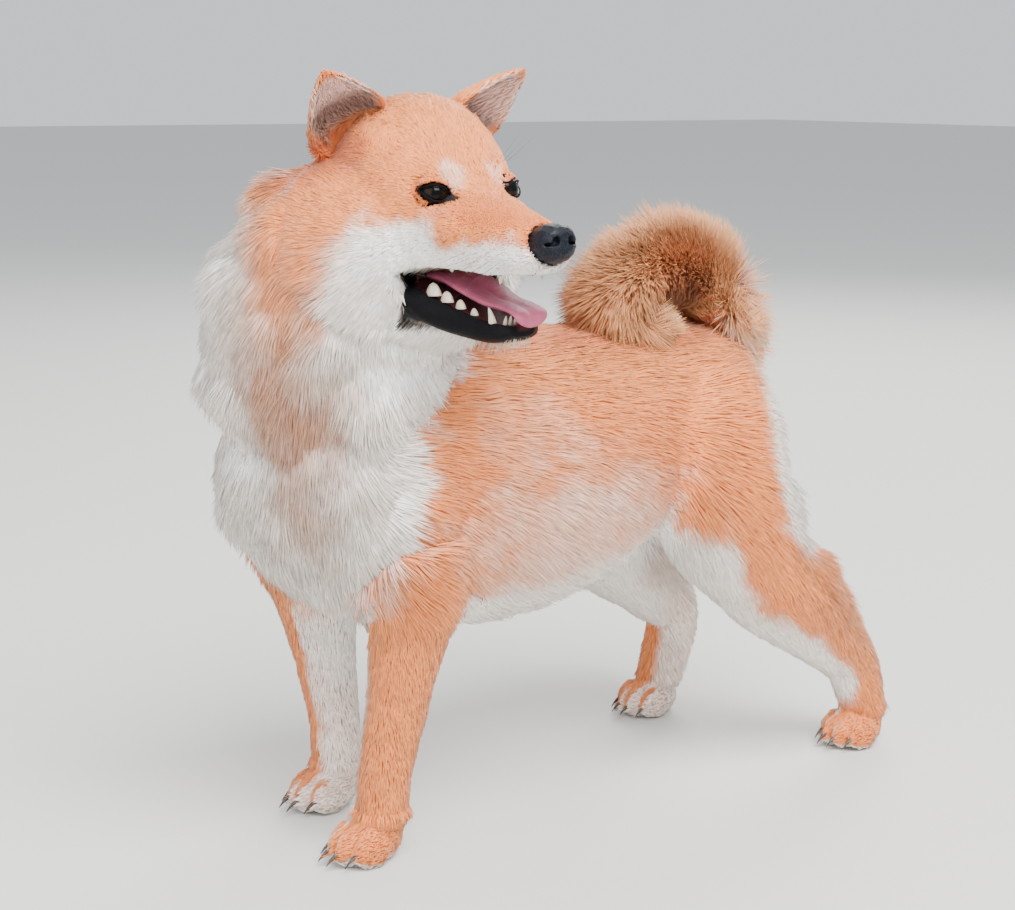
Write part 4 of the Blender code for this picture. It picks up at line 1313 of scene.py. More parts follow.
@dataclass
class Coat:
    """The fur: closed tufts of mesh over the skin, one piece for each region."""

    skin: bpy.types.Object
    material: bpy.types.Material
    seed: int = 7
    bow: float = 0.9
    lifts: tuple[float, float] = (0.6, 1.4)
    leans: tuple[float, float] = (-0.16, 0.16)
    girths: tuple[float, float] = (0.75, 1.25)
    reaches: tuple[float, float] = (0.70, 1.12)
    lift_scale: float = 120.0
    lean_scale: float = 70.0
    own_normal: float = 0.45

    def build(self) -> list[bpy.types.Object]:
        """Makes every region's coat.

        Returns:
            The pieces.
        """
        tuft = self.tuft()
        tree = self.tree()
        made = []
        for index, region in enumerate(Region):
            name, count, width = region.value
            piece = bpy.data.objects.new(name, self.skin.data.copy())
            bpy.context.scene.collection.objects.link(piece)
            modifier = piece.modifiers.new("grow", "NODES")
            modifier.node_group = tree
            values = {
                "Region": float(index),
                "Density": count / self.room(index),
                "Width": width,
                "Tuft": tuft,
                "Finish": self.material,
                "Seed": self.seed + index,
            }
            for item in tree.interface.items_tree:
                if item.in_out == "INPUT" and item.name in values:
                    modifier[item.identifier] = values[item.name]
            baked(piece)
            dress(piece, self.material)
            made.append(piece)
        bpy.data.objects.remove(tuft)
        return made

    def room(self, index: int) -> float:
        """The region's area in square metres, less where its coat is thin.

        Args:
            index: The region's number.

        Returns:
            The area.
        """
        mesh = self.skin.data
        mesh.calc_loop_triangles()
        corners = np.empty(len(mesh.loop_triangles) * 3, np.int32)
        mesh.loop_triangles.foreach_get("vertices", corners)
        areas = np.empty(len(mesh.loop_triangles), np.float32)
        mesh.loop_triangles.foreach_get("area", areas)
        fields = []
        for name in ("region", "thick"):
            values = np.empty(len(mesh.vertices), np.float32)
            mesh.attributes[name].data.foreach_get("value", values)
            fields.append(values[corners.reshape(-1, 3)].mean(axis=1))
        here = np.abs(fields[0] - index) < REGION_SLACK
        return float((areas * fields[1] * here).sum())

    def tuft(self) -> bpy.types.Object:
        """One tuft along +X, from root at 0 to tip at 1 and 1 wide: a blade bowed up and down again.

        Returns:
            The tuft, hidden.
        """
        points = [(0.0, 0.0, -0.4), (0.35, -0.5, self.bow), (0.35, 0.5, self.bow), (1.0, 0.0, 0.0)]
        made = mesh_object("tuft", points, [(0, 1, 2), (1, 3, 2), (0, 3, 1), (0, 2, 3)])
        places = np.array(points)
        store(made, "along", places[:, 0])
        store(made, "leaf", np.stack((places[:, 0] - 0.5, places[:, 1], 0 * places[:, 0]), axis=1))
        made.hide_render = True
        return made

    def tree(self) -> bpy.types.NodeTree:
        """The tree that sets tufts on the skin along its comb.

        Returns:
            The tree.
        """
        tree = bpy.data.node_groups.new("coat", "GeometryNodeTree")
        new = tree.interface.new_socket
        for way in ("INPUT", "OUTPUT"):
            new("Geometry", in_out=way, socket_type="NodeSocketGeometry")
        for name, kind in (
            ("Region", "Float"), ("Density", "Float"), ("Width", "Float"), ("Tuft", "Object"),
            ("Finish", "Material"), ("Seed", "Int"),
        ):
            new(name, in_out="INPUT", socket_type=f"NodeSocket{kind}")
        graph = Graph(tree)

        def given(name: str) -> Wire:
            """An input of the tree."""
            return graph.node("NodeGroupInput", out=name)

        def named(name: str, kind: str = "FLOAT") -> Wire:
            """A field stored on the skin."""
            settings = {"data_type": kind}
            return graph.node("GeometryNodeInputNamedAttribute", settings, {"Name": name}, "Attribute")

        def drawn(low: float, high: float, offset: int) -> Wire:
            """A number drawn for each tuft.

            Args:
                low: The least it can be.
                high: The most.
                offset: Sets this draw apart from others.

            Returns:
                The number.
            """
            seed = given("Seed") * 31.0 + float(offset)
            sockets = {"Min_001": low, "Max_001": high, "Seed": seed}
            return graph.node("FunctionNodeRandomValue", {"data_type": "FLOAT"}, sockets, "Value_001")

        def swirl(scale: float) -> Wire:
            """Smooth noise over the skin, so that neighbours lean and lie alike.

            Args:
                scale: Cycles in a metre.

            Returns:
                The noise, from 0 to 1.
            """
            place = graph.node("GeometryNodeInputPosition")
            sockets = {"Vector": place, "Scale": scale, "Detail": 2.0}
            return graph.node("ShaderNodeTexNoise", {}, sockets, "Fac")

        def changed(kind: str, geometry: Wire, **sockets: Wire | str) -> Wire:
            """The geometry after one more node with these inputs."""
            return graph.node(kind, {}, {"Geometry": geometry, **sockets})

        here = graph.node(
            "FunctionNodeCompare",
            {"data_type": "FLOAT", "operation": "EQUAL", "mode": "ELEMENT"},
            {"A": named("region"), "B": given("Region"), "Epsilon": REGION_SLACK},
        )
        scatter = graph.node(
            "GeometryNodeDistributePointsOnFaces",
            {"distribute_method": "RANDOM"},
            {
                "Mesh": given("Geometry"),
                "Selection": here,
                "Density": given("Density") * named("thick"),
                "Seed": given("Seed"),
            },
        )
        normal = Wire(graph, scatter.socket.node.outputs["Normal"])
        points = scatter
        for name, kind, value in (
            ("root", "FLOAT_VECTOR", named(BAKE_MAP, "FLOAT_VECTOR")),
            ("grow", "FLOAT_VECTOR", normal),
            ("strand", "FLOAT", drawn(0.0, 1.0, 1)),
        ):
            points = graph.node(
                "GeometryNodeStoreNamedAttribute",
                {"data_type": kind, "domain": "POINT"},
                {"Geometry": points, "Name": name, "Value": value},
            )
        comb, grow = named("comb", "FLOAT_VECTOR"), named("grow", "FLOAT_VECTOR")
        aside = graph.arithmetic("CROSS_PRODUCT", grow, comb)
        lift = named("lift") * drawn(*self.lifts, 2) * (swirl(self.lift_scale) + 0.5)
        rise = graph.node("ShaderNodeMath", {"operation": "SINE"}, {0: lift})
        ahead = graph.node("ShaderNodeMath", {"operation": "COSINE"}, {0: lift})
        lean = drawn(*self.leans, 3) + (swirl(self.lean_scale) - 0.5)
        way = comb * ahead + grow * rise + aside * lean
        turn = graph.node(
            "FunctionNodeAxesToRotation",
            {"primary_axis": "X", "secondary_axis": "Z"},
            {"Primary Axis": way, "Secondary Axis": grow},
        )
        girth = given("Width") * drawn(*self.girths, 4)
        reach = named("length") * drawn(*self.reaches, 5)
        size = graph.node("ShaderNodeCombineXYZ", {}, {"X": reach, "Y": girth, "Z": girth})
        leaf = graph.node(
            "GeometryNodeObjectInfo", {"transform_space": "ORIGINAL"}, {"Object": given("Tuft")}, "Geometry"
        )
        made = graph.node(
            "GeometryNodeInstanceOnPoints",
            {},
            {"Points": points, "Instance": leaf, "Rotation": turn, "Scale": size},
        )
        made = changed("GeometryNodeRealizeInstances", made)
        spot = graph.node("GeometryNodeInputPosition")
        parts = graph.node("ShaderNodeSeparateXYZ", {}, {"Vector": spot})
        x, y, z = (Wire(graph, parts.socket.node.outputs[axis]) for axis in "XYZ")
        above = graph.node("ShaderNodeMath", {"operation": "MAXIMUM"}, {0: z, 1: FLOOR_GAP})
        kept = graph.node("ShaderNodeCombineXYZ", {}, {"X": x, "Y": y, "Z": above})
        made = changed("GeometryNodeSetPosition", made, Position=kept)
        own = graph.node("GeometryNodeInputNormal", out="Normal") * self.own_normal
        mean = named("grow", "FLOAT_VECTOR") + own
        soft = graph.node("ShaderNodeVectorMath", {"operation": "NORMALIZE"}, {0: mean})
        made = graph.node(
            "GeometryNodeSetMeshNormal", {"mode": "FREE"}, {"Mesh": made, "Custom Normal": soft}
        )
        patch = named("root", "FLOAT_VECTOR") + named("leaf", "FLOAT_VECTOR") * TUFT_PATCH
        made = changed("GeometryNodeRemoveAttribute", made, Name=BAKE_MAP)
        made = graph.node(
            "GeometryNodeStoreNamedAttribute",
            {"data_type": "FLOAT2", "domain": "CORNER"},
            {"Geometry": made, "Name": BAKE_MAP, "Value": patch},
        )
        for name in ("comb", "length", "lift", "thick", "region", "grow", "root", "leaf"):
            made = changed("GeometryNodeRemoveAttribute", made, Name=name)
        made = changed("GeometryNodeSetMaterial", made, Material=given("Finish"))
        changed("NodeGroupOutput", made)
        return tree

    @staticmethod
    def paint(graph: Graph, colours: CoatColours) -> tuple[Wire, None, None]:
        """Coat: the masks' colours with painted shade at the roots, paler at the tips, painted light on the
        tail's outer edge, and each tuft its own tone.

        Args:
            graph: The material's graph.
            colours: The coat's colours.

        Returns:
            Colour only.
        """
        along, strand, frost = (graph.attribute(name) for name in ("along", "strand", Mask.FROST.value))
        base = colours.marked(graph)
        # painted shade at the tufts' roots, fading out along them and on the tail's outer edge
        root = graph.blend(1.0, base, colours.root, "MULTIPLY")
        grown = graph.blend(along.between(0.0, 0.45) + frost * 0.6, root, base)
        tipped = graph.blend(along.between(0.35, 1.1) * frost, grown, colours.tip)
        # each tuft's own tone at random, brightened on the tail's outer edge as painted light
        shade = strand * 0.30 + graph.grain(150.0, 2.0) * 0.45 + 0.62 + frost * 0.15
        shade = graph.arithmetic("MINIMUM", shade, 1.08)
        tint = graph.node("ShaderNodeCombineColor", {}, {"Red": shade, "Green": shade, "Blue": shade})
        shaded = graph.blend(1.0, tipped, tint, "MULTIPLY")
        lips = graph.attribute("lips").between(0.5, 0.9)
        return graph.blend(lips, shaded, colours.black), None, None


@dataclass
class Eyes:
    """Two glass eyes, with their dark lid rims."""

    stance: Stance
    look: float = radians(24)
    slant: float = radians(16)
    opening: tuple[float, float] = (0.0108, 0.0052)
    pinch: float = 0.45
    lid_radius: float = 0.0121
    sunk: float = 0.0090
    rim: float = 0.0008
    bulge: float = 0.045

    def frame(self, side: Side) -> Matrix:
        """The eye's own frame: x looks out, y runs along the slit, z is up the lids.

        Args:
            side: The dog's left or right.

        Returns:
            The frame, in the model's.
        """
        s, (x, y, z) = side.value, EYE_PLACE
        turn = Matrix.Rotation(s * self.look, 4, "Z") @ Matrix.Rotation(s * self.slant, 4, "X")
        return self.stance.head @ Matrix.Translation((x, s * y, z)) @ turn

    def opening_share(self, seen: np.ndarray) -> np.ndarray:
        """How far points in the eye's frame are from the slit's middle, with 1 on its edge.

        Args:
            seen: Points in the eye's frame.

        Returns:
            The shares.
        """
        length, height = self.opening
        u = np.clip(seen[:, 1] / length, -1.6, 1.6)
        return np.hypot(u, seen[:, 2] / (height * np.maximum(1 - self.pinch * u * u, self.pinch)))

    def build(self) -> None:
        """Makes both eyes and their rims."""
        glass = Finish("eye_glass", 0.10, specular=0.05, coat=0.13, coat_roughness=0.02)
        glass = glass.surface(self.paint)
        rim = Finish("lid_rim", 0.55, specular=0.07)
        rim = rim.surface(lambda graph: ((0.0025, 0.002, 0.002), graph.grain(1500.0), None))
        for side in Side:
            word = side.name.lower()
            ball = self.ball(f"eyeball_{word}", side)
            dress(ball, glass)
            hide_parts(f"eye_{word}")
            dress(self.rim_ring(f"lid_rim_{word}", side), rim)

    def ball(self, name: str, side: Side) -> bpy.types.Object:
        """An eyeball with a bulging cornea; its gaze is 0 at the pupil and 1 at the back.

        Args:
            name: The piece's name.
            side: The dog's left or right.

        Returns:
            The eyeball.
        """
        place, sides, steps, crowding = self.frame(side), 40, 30, 1.25
        rings, gaze = [], []
        for step in range(1, steps):
            angle = pi * (step / steps) ** crowding
            radius = EYE_RADIUS * (1 + self.bulge * smooth_one(0.75, 0.0, angle))
            ahead, girth = radius * cos(angle), radius * sin(angle)
            turns = (2 * pi * k / sides for k in range(sides))
            rings.append([place @ Vector((ahead, girth * cos(t), girth * sin(t))) for t in turns])
            gaze += [angle / pi] * sides
        made = rings_object(name, rings)
        store(made, "gaze", np.array(gaze))
        return made

    def rim_ring(self, name: str, side: Side) -> bpy.types.Object:
        """The wet, dark edge of the lids: a thin ring round the opening.

        Args:
            name: The piece's name.
            side: The dog's left or right.

        Returns:
            The ring.
        """
        place = self.frame(side)
        length, height = self.opening
        count, sides = 56, 8
        points, faces = [], []
        for k in range(count):
            turn = 2 * pi * k / count
            y, z = length * cos(turn), height * sin(turn) * (1 - self.pinch * cos(turn) ** 2)
            x = sqrt(self.lid_radius**2 - min(y * y + z * z, (0.98 * self.lid_radius) ** 2))
            centre = Vector((x, y, z))
            out = centre.normalized()
            aside = Vector((0, y / length**2, z / height**2)).normalized()
            girth = self.rim * (1.0 + 0.5 * abs(cos(turn)) ** 6)
            for j in range(sides):
                angle = 2 * pi * j / sides
                points.append(place @ (centre + girth * (cos(angle) * out * 0.7 + sin(angle) * aside)))
                a, b = k * sides + j, k * sides + (j + 1) % sides
                c, d = ((k + 1) % count) * sides + j, ((k + 1) % count) * sides + (j + 1) % sides
                faces.append((a, b, d, c))
        return mesh_object(name, points, faces)

    @staticmethod
    def paint(graph: Graph) -> tuple[Wire, None, None]:
        """Eye: black pupil, dark brown iris with fine rays, dark edge and dull white.

        Args:
            graph: The material's graph.

        Returns:
            Colour only.
        """
        gaze = graph.attribute("gaze")
        rays = graph.grain(700.0, 4.0)
        stops = (
            (0.00, (0.002, 0.002, 0.002)), (0.115, (0.002, 0.002, 0.002)), (0.135, (0.010, 0.005, 0.0035)),
            (0.27, (0.015, 0.008, 0.005)), (0.31, (0.004, 0.003, 0.003)), (0.36, (0.010, 0.008, 0.007)),
            (0.45, (0.05, 0.038, 0.034)), (1.0, (0.20, 0.14, 0.12)),
        )
        ruffled = gaze + (rays - 0.5) * 0.015
        return graph.node("ShaderNodeValToRGB", {"stops": stops}, {"Fac": ruffled}, "Color"), None, None


@dataclass
class Nose:
    """The nose leather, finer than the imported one."""

    voxel: float = 0.00065

    def build(self) -> None:
        """Makes the nose."""
        made = remeshed(copied("nose", 0.0002), self.voxel, 5)
        made.name = "nose_leather"
        finish = Finish("nose_leather", 0.40, specular=0.14, coat=0.06, coat_roughness=0.30)
        dress(made, finish.surface(self.paint))
        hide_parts("nose")

    @staticmethod
    def paint(graph: Graph) -> tuple[Wire, Wire, Wire]:
        """Nose: blue-black with a fine pebble grain, painted shade in the grooves between pebbles, and drier
        patches.

        Args:
            graph: The material's graph.

        Returns:
            Colour, height and roughness.
        """
        pebble = graph.cells(1150.0)
        patchy = graph.grain(220.0, 3.0)
        # painted shade: darker in the grooves between the pebbles
        colour = graph.blend((pebble * 0.9).between(0.05, 0.6), (0.010, 0.0135, 0.024), (0.003, 0.004, 0.007))
        return colour, (1 - pebble.between(0.0, 0.7)) * 0.5, patchy * 0.25 + 0.26


@dataclass
class Mouth:
    """Lower jaw with black lips, gums, teeth and tongue."""

    stance: Stance
    full: float = 0.0014
    jaw: tuple[tuple[float, float, float, float], ...] = (
        (-0.042, 0.0300, -0.0520, -0.0730),
        (-0.032, 0.0405, -0.0525, -0.0780),
        (-0.020, 0.0405, -0.0555, -0.0830),
        (-0.006, 0.0350, -0.0620, -0.0885),
        (0.010, 0.0282, -0.0695, -0.0920),
        (0.028, 0.0222, -0.0760, -0.0945),
        (0.040, 0.0172, -0.0795, -0.0930),
        (0.047, 0.0090, -0.0825, -0.0895),
    )
    tongue_line: tuple[tuple[float, float, float, float], ...] = (
        (-0.036, 0.000, -0.0525, 0.0180),
        (-0.018, 0.000, -0.0545, 0.0195),
        (0.004, -0.001, -0.0615, 0.0190),
        (0.024, 0.000, -0.0690, 0.0165),
        (0.040, 0.002, -0.0725, 0.0145),
        (0.0515, 0.003, -0.0770, 0.0140),
        (0.0550, 0.004, -0.0845, 0.0120),
    )

    def build(self) -> None:
        """Makes jaw, teeth and tongue."""
        skin = Finish("lip_skin", 0.60, specular=0.07).surface(self.paint_jaw)
        jaw = dress(self.jaw_form(), skin)
        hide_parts("lower_jaw")
        ivory = Finish("tooth", 0.28, specular=0.5, coat=0.3).surface(self.paint_tooth)
        gathered("teeth", self.teeth(), ivory)
        flesh = Finish("tongue", 0.50, specular=0.16, coat=0.05, coat_roughness=0.25, subsurface=0.12)
        tongue = dress(self.tongue(), flesh.surface(self.paint_tongue))
        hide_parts("tongue")

    def jaw_form(self) -> bpy.types.Object:
        """The jaw: a smooth trough with raised lips, and a rolled edge.

        Returns:
            The jaw, with how wet it is at each vertex.
        """
        count, sides, squareness, trough = 90, 72, 2.5, 0.0060
        rows = eased(self.jaw, count)
        rings, wet = [], []
        for i, (along, half, top, bottom) in enumerate(rows.tolist()):
            ring = []
            half, bottom = half + self.full, bottom - self.full
            middle, tall = (top + bottom) / 2, (top - bottom) / 2
            for k in range(sides):
                turn = 2 * pi * (k + 0.5) / sides
                c, s = cos(turn), sin(turn)
                y = half * abs(c) ** (2 / squareness) * (1 if c > 0 else -1)
                z = tall * abs(s) ** (2 / squareness) * (1 if s > 0 else -1)
                inside = smooth_one(0.80, 0.62, abs(y) / half) if s > 0 else 0.0
                z -= trough * inside * smooth_one(0, 12, i) * smooth_one(count - 1, count - 10, i)
                ring.append(self.stance.head @ Vector((along, y, middle + z)))
                wet.append(inside)
            rings.append(ring)
        made = rings_object("lower_lip", rings)
        store(made, "wet", np.array(wet))
        return made

    def teeth(self) -> Iterable[bpy.types.Object]:
        """Every tooth that the open mouth shows.

        Returns:
            The teeth, one by one.
        """
        for side in Side:
            s = side.value
            yield self.tooth((0.0355, s * 0.0158, -0.0790), 0.0118, 0.0029, (0.15, s * 0.22, 1.0), -0.10)
            for i in range(3):
                place = (0.0425 - 0.0009 * i, s * (0.0018 + 0.0034 * i), -0.0800)
                yield self.tooth(place, 0.0066, 0.0017, (0.3, 0.0, 1.0))
            for i in range(4):
                place = (0.019 - 0.0105 * i, s * (0.0180 + 0.0034 * i), -0.0735 + 0.0044 * i)
                height, radius = 0.0050 + 0.0013 * i, 0.0022 + 0.0007 * i
                yield self.tooth(place, height, radius, (0.0, 0.0, 1.0), 0.0, 1.8, 3.2)
            yield self.tooth((0.051, s * 0.0170, -0.0440), 0.0145, 0.0029, (-0.1, s * 0.1, -1.0), 0.10)
            for i in range(3):
                place = (0.030 - 0.014 * i, s * (0.018 + 0.0022 * i), -0.0435)
                yield self.tooth(place, 0.0072, 0.0028, (0.0, 0.0, -1.0), 0.0, 1.5, 2.4)

    def tooth(
        self,
        at: Triple,
        height: float,
        radius: float,
        lean: Triple,
        bend: float = 0.0,
        broad: float = 1.0,
        blunt: float = 1.6,
    ) -> bpy.types.Object:
        """A tooth: a rounded, slightly bent cone.

        Args:
            at: Its root, in the head's frame.
            height: From root to tip.
            radius: Half its width at the root.
            lean: The way it points.
            bend: How far its tip bends back, as a share of its height.
            broad: How much longer it is along the jaw than across.
            blunt: How late it narrows to its tip.

        Returns:
            The tooth.
        """
        turn = Vector(lean).to_track_quat("Z", "Y").to_matrix().to_4x4()
        place = self.stance.head @ Matrix.Translation(at) @ Matrix.Diagonal((broad, 1, 1, 1)) @ turn
        rings = []
        for step in range(9):
            u = step / 8
            girth = radius * sqrt(max(1 - u**blunt, 0.004)) * (1 - 0.35 * u)
            centre = Vector((bend * height * u * u, 0, height * u - 0.003))
            rings.append(circle(place, centre, girth, Vector((1, 0, 0)), Vector((0, 1, 0)), 12))
        return rings_object("tooth", rings)

    def tongue(self) -> bpy.types.Object:
        """The tongue: flat, grooved along its middle, hanging over the front teeth.

        Returns:
            The tongue.
        """
        rows = eased(self.tongue_line, 60)
        points = [Vector(row[:3].tolist()) for row in rows]
        rings = []
        for i, point in enumerate(points):
            ahead = (points[min(i + 1, 59)] - points[max(i - 1, 0)]).normalized()
            across = Vector((0, 1, 0))
            across = (across - across.dot(ahead) * ahead).normalized()
            up = ahead.cross(across)
            end = sqrt(max(1 - (max(i - 50, 0) / 9.6) ** 2, 0.004))
            radius = float(rows[i][3]) * end
            ring = []
            for k in range(36):
                turn = 2 * pi * k / 36
                y, z = radius * cos(turn), 0.24 * radius * sin(turn)
                groove = 0.0016 * float(np.exp(-((y / 0.0030) ** 2))) * (1 if sin(turn) > 0 else 0.2)
                curl = 0.10 * abs(y) ** 1.5 / max(radius, 0.002) ** 0.5
                ring.append(self.stance.head @ (point + across * y + up * (z - groove * end + curl)))
            rings.append(ring)
        return rings_object("tongue_flesh", rings)

    @staticmethod
    def paint_jaw(graph: Graph) -> tuple[Wire, Wire, Wire]:
        """Lips: black and finely wrinkled outside, dark flesh inside.

        Args:
            graph: The material's graph.

        Returns:
            Colour, height and roughness.
        """
        wet = graph.attribute("wet")
        colour = graph.blend(wet.between(0.2, 0.8), (0.0035, 0.0035, 0.0045), (0.11, 0.030, 0.034))
        return colour, graph.grain(1100.0, 3.0, (1, 1, 2.5)), graph.grain(300.0) * 0.25 + 0.30

    @staticmethod
    def paint_tooth(graph: Graph) -> tuple[Wire, None, None]:
        """Teeth: ivory, yellower in patches."""
        patchy = graph.grain(300.0).between(0.3, 0.8)
        return graph.blend(patchy, (0.66, 0.59, 0.47), (0.48, 0.39, 0.27)), None, None

    @staticmethod
    def paint_tongue(graph: Graph) -> tuple[Wire, Wire, Wire]:
        """Tongue: mauve pink, darkened as painted shade inside the mouth, with fine papillae.

        Args:
            graph: The material's graph.

        Returns:
            Colour, height and roughness.
        """
        patchy = graph.grain(120.0).between(0.3, 0.7)
        # painted shade: the tongue's mauve pink darkened for the inside of the mouth
        colour = graph.blend(patchy, (0.46, 0.105, 0.175), (0.36, 0.080, 0.145))
        return colour, 1 - graph.cells(1700.0), graph.grain(500.0) * 0.3 + 0.25


@dataclass
class Trimmings:
    """Claws, whiskers and chin hairs."""

    stance: Stance
    toe: Triple = (0.062, 0.046, 0.034)
    seed: int = 4
    chin_count: int = 420

    def build(self) -> None:
        """Makes them all."""
        horn = Finish("claw", 0.38, specular=0.5).surface(self.paint_claw)
        gathered("claws", self.claws(), horn)
        brown = Finish("whisker", 0.45).surface(lambda graph: ((0.045, 0.035, 0.03), None, None))
        gathered("whiskers", self.whiskers(), brown)
        pale = Finish("chin_hair", 0.6).surface(lambda graph: ((0.62, 0.55, 0.46), None, None))
        gathered("chin_hairs", self.chin_hairs(), pale)

    def claws(self) -> Iterable[bpy.types.Object]:
        """Four claws on each paw, curved down to the floor.

        Returns:
            The claws, one by one.
        """
        long, wide, high = self.toe
        for x, y in ANKLES:
            for i in (-1.5, -0.5, 0.5, 1.5):
                reach = 0.009 if abs(i) < 1 else 0.0
                root = Vector((x + long * 0.28 + reach + long * 0.20, y + i * wide * 0.245, high * 0.36))
                line = []
                for step in range(5):
                    u = step / 4
                    radius = 0.0023 * (1 - 0.84 * u)
                    line.append((root.x + 0.0115 * u, root.y, root.z - 0.0068 * u * u, radius))
                yield tube("claw", line, Matrix.Translation(self.stance.shift), 8, 10)

    def whiskers(self) -> Iterable[bpy.types.Object]:
        """Long fine hairs from the muzzle's sides and over the eyes.

        Returns:
            The hairs, one by one.
        """
        draw = Random(self.seed)
        for side in Side:
            s = side.value
            for row in range(3):
                for i in range(4):
                    root = (0.062 - 0.011 * i, s * (0.0215 + 0.0014 * i), -0.033 - 0.0050 * row)
                    aside, fall = draw.uniform(0.8, 1.0), draw.uniform(-0.42, -0.12)
                    way = Vector((0.15 - 0.25 * i, s * aside, fall)).normalized()
                    yield self.hair(root, way, draw.uniform(0.026, 0.042), 0.00016, 0.18)
            for i in range(3):
                root = (0.006, s * (0.017 + 0.004 * i), 0.024)
                way = Vector((0.6, s * (0.5 + 0.2 * i), 0.75)).normalized()
                yield self.hair(root, way, draw.uniform(0.016, 0.024), 0.00014, -0.12)

    def chin_hairs(self) -> Iterable[bpy.types.Object]:
        """Sparse pale hairs under the black lip.

        Returns:
            The hairs, one by one.
        """
        draw = Random(self.seed + 1)
        rows = eased(Mouth.jaw, 60)
        for _ in range(self.chin_count):
            row = rows[draw.randrange(8, 58)]
            along, half, top, bottom = row.tolist()
            turn = radians(draw.uniform(232, 308))
            low = sin(turn)
            y = half * abs(cos(turn)) ** 0.8 * (1 if cos(turn) > 0 else -1)
            z = (top + bottom) / 2 + (top - bottom) / 2 * abs(low) ** 0.8 * -1
            way = Vector((-0.55 + draw.uniform(-0.3, 0.3), 0.6 * cos(turn), low * 0.9)).normalized()
            yield self.hair((along, 0.96 * y, z + 0.0006), way, draw.uniform(0.006, 0.011), 0.00020, 0.2)

    def hair(
        self, root: Triple, way: Vector, length: float, radius: float, droop: float
    ) -> bpy.types.Object:
        """One hair: a thin three-sided cone that bends down.

        Args:
            root: Where it grows, in the head's frame.
            way: The way it leaves the skin.
            length: How long it is.
            radius: Half its thickness at the root.
            droop: How far its tip sinks, as a share of its length.

        Returns:
            The hair.
        """
        across = way.cross(Vector((0.1, 0.3, 1.0))).normalized()
        other = way.cross(across)
        rings = []
        for u in (0.0, 0.4, 0.75, 1.0):
            centre = Vector(root) + length * (u * way - Vector((0, 0, droop * u * u)))
            rings.append(circle(self.stance.head, centre, radius * (1 - 0.9 * u), across, other, 3))
        return rings_object("hair", rings)

    @staticmethod
    def paint_claw(graph: Graph) -> tuple[Wire, Wire, None]:
        """Claws: dark horn with pale streaks.

        Args:
            graph: The material's graph.

        Returns:
            Colour and height.
        """
        streaks = graph.grain(500.0, 3.0, (0.25, 1, 1))
        colour = graph.blend(streaks.between(0.4, 0.8), (0.035, 0.026, 0.022), (0.14, 0.105, 0.08))
        return colour, streaks, None


@dataclass
class Viewpoint:
    """The photo's camera, kept to the same place before the model."""

    stance: Stance
    place: Triple = (0.7411, 1.1711, 0.5657)
    heading: float = radians(-126.91)
    pitch: float = radians(-11.15)
    roll: float = radians(0.41)
    lens: float = 67.53
    sensor: float = 36.0

    def build(self) -> None:
        """Sets the camera."""
        flat = cos(self.pitch)
        ahead = Vector((flat * cos(self.heading), flat * sin(self.heading), sin(self.pitch)))
        across = ahead.cross(Vector((0, 0, 1))).normalized()
        over = across.cross(ahead)
        right = cos(self.roll) * across + sin(self.roll) * over
        up = cos(self.roll) * over - sin(self.roll) * across
        data = bpy.data.cameras.new("camera")
        data.lens, data.sensor_width, data.sensor_fit = self.lens, self.sensor, "HORIZONTAL"
        data.dof.use_dof = False
        made = bpy.data.objects.new("camera", data)
        bpy.context.scene.collection.objects.link(made)
        at = self.stance.placed(self.place)
        made.matrix_world = Matrix(
            (
                (right.x, up.x, -ahead.x, at.x),
                (right.y, up.y, -ahead.y, at.y),
                (right.z, up.z, -ahead.z, at.z),
                (0, 0, 0, 1),
            )
        )
        bpy.context.scene.camera = made


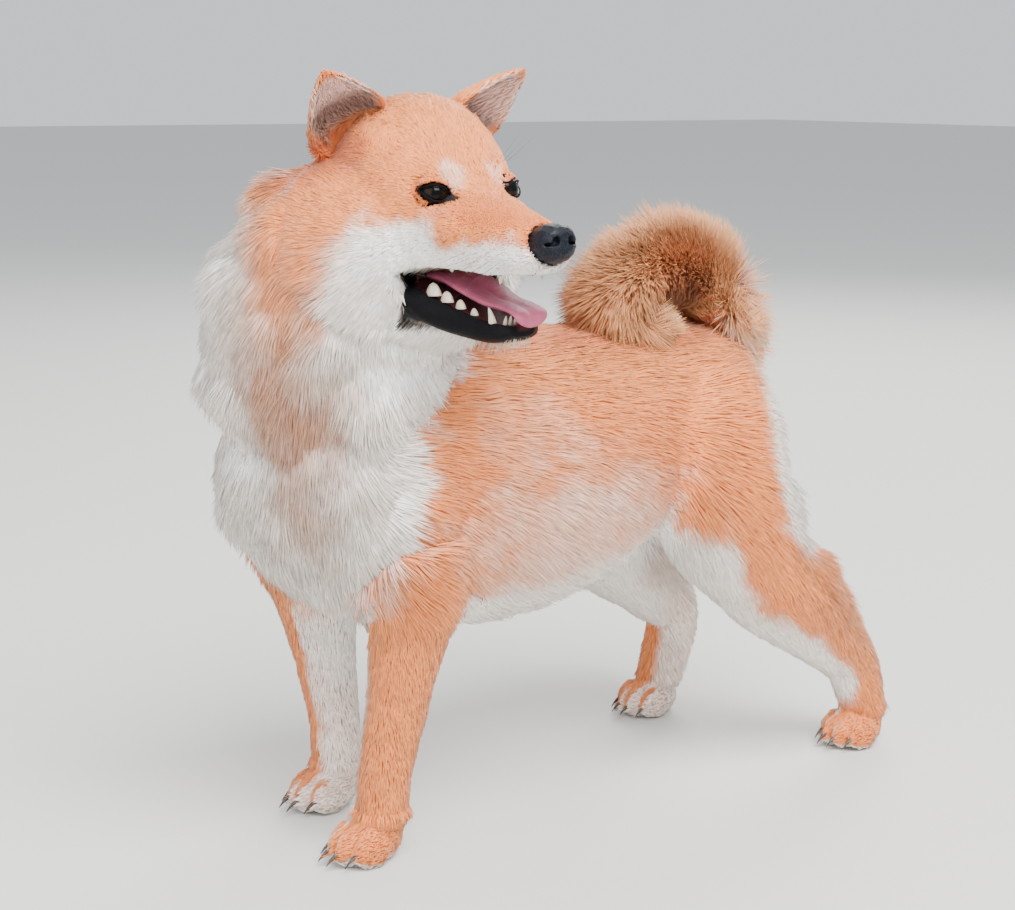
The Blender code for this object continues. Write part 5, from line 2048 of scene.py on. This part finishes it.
@dataclass
class Studio:
    """Plain pale floor, soft lights and pale surroundings."""

    floor_size: float = 40.0
    world: Triple = (0.80, 0.83, 0.88)
    world_strength: float = 1.10

    def build(self) -> None:
        """Makes the floor, lights and world."""
        half = self.floor_size / 2
        floor = mesh_object(
            "floor", [(-half, -half, 0), (half, -half, 0), (half, half, 0), (-half, half, 0)], [(0, 1, 2, 3)]
        )
        floor.data.materials.append(
            Finish("floor", 0.8, specular=0.2).surface(lambda graph: ((0.62, 0.62, 0.60), None, None))
        )
        floor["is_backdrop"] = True
        self.light("key", (0.4, 1.9, 3.0), 2.4, 325.0, (1.0, 0.98, 0.95))
        self.light("fill", (2.6, 0.4, 1.2), 2.2, 30.0, (0.93, 0.96, 1.0))
        self.light("back", (-2.2, -1.8, 2.4), 1.8, 110.0, (1.0, 0.98, 0.95))
        world = bpy.data.worlds.new("surroundings")
        world.use_nodes = True
        shade = world.node_tree.nodes["Background"]
        shade.inputs["Color"].default_value = (*self.world, 1)
        shade.inputs["Strength"].default_value = self.world_strength
        bpy.context.scene.world = world

    @staticmethod
    def light(name: str, place: Triple, size: float, power: float, colour: Triple) -> None:
        """A square soft light that faces the model's middle.

        Args:
            name: The light's name.
            place: Where it is.
            size: Its side, in metres.
            power: Its power, in watts.
            colour: Its colour.
        """
        data = bpy.data.lights.new(name, "AREA")
        data.shape, data.size, data.energy, data.color = "SQUARE", size, power, colour
        made = bpy.data.objects.new(name, data)
        bpy.context.scene.collection.objects.link(made)
        made.matrix_world = Matrix.Translation(place) @ (
            (Vector((0, 0, 0.3)) - Vector(place)).to_track_quat("-Z", "Y").to_matrix().to_4x4()
        )
        made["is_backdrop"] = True


def main() -> None:
    """Builds the looks on the loaded frame."""
    logging.basicConfig(level=logging.INFO)
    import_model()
    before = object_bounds()
    stance = Stance.read()
    colours = CoatColours()
    skin = Hide(stance, MarkingsAndShade(stance)).build(colours)
    fur = Finish("fur", 0.62, specular=0.3, sheen=0.15).surface(lambda graph: Coat.paint(graph, colours))
    Coat(skin, fur).build()
    Eyes(stance).build()
    Nose().build()
    Mouth(stance).build()
    Trimmings(stance).build()
    Studio().build()
    Viewpoint(stance).build()
    sizes = {"loaded": before, "finished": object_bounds()}
    {name: [[float(v) for v in corner] for corner in box] for name, box in sizes.items()}
    log.info("sizes: %s", sizes)


if __name__ == "__main__":
    main()
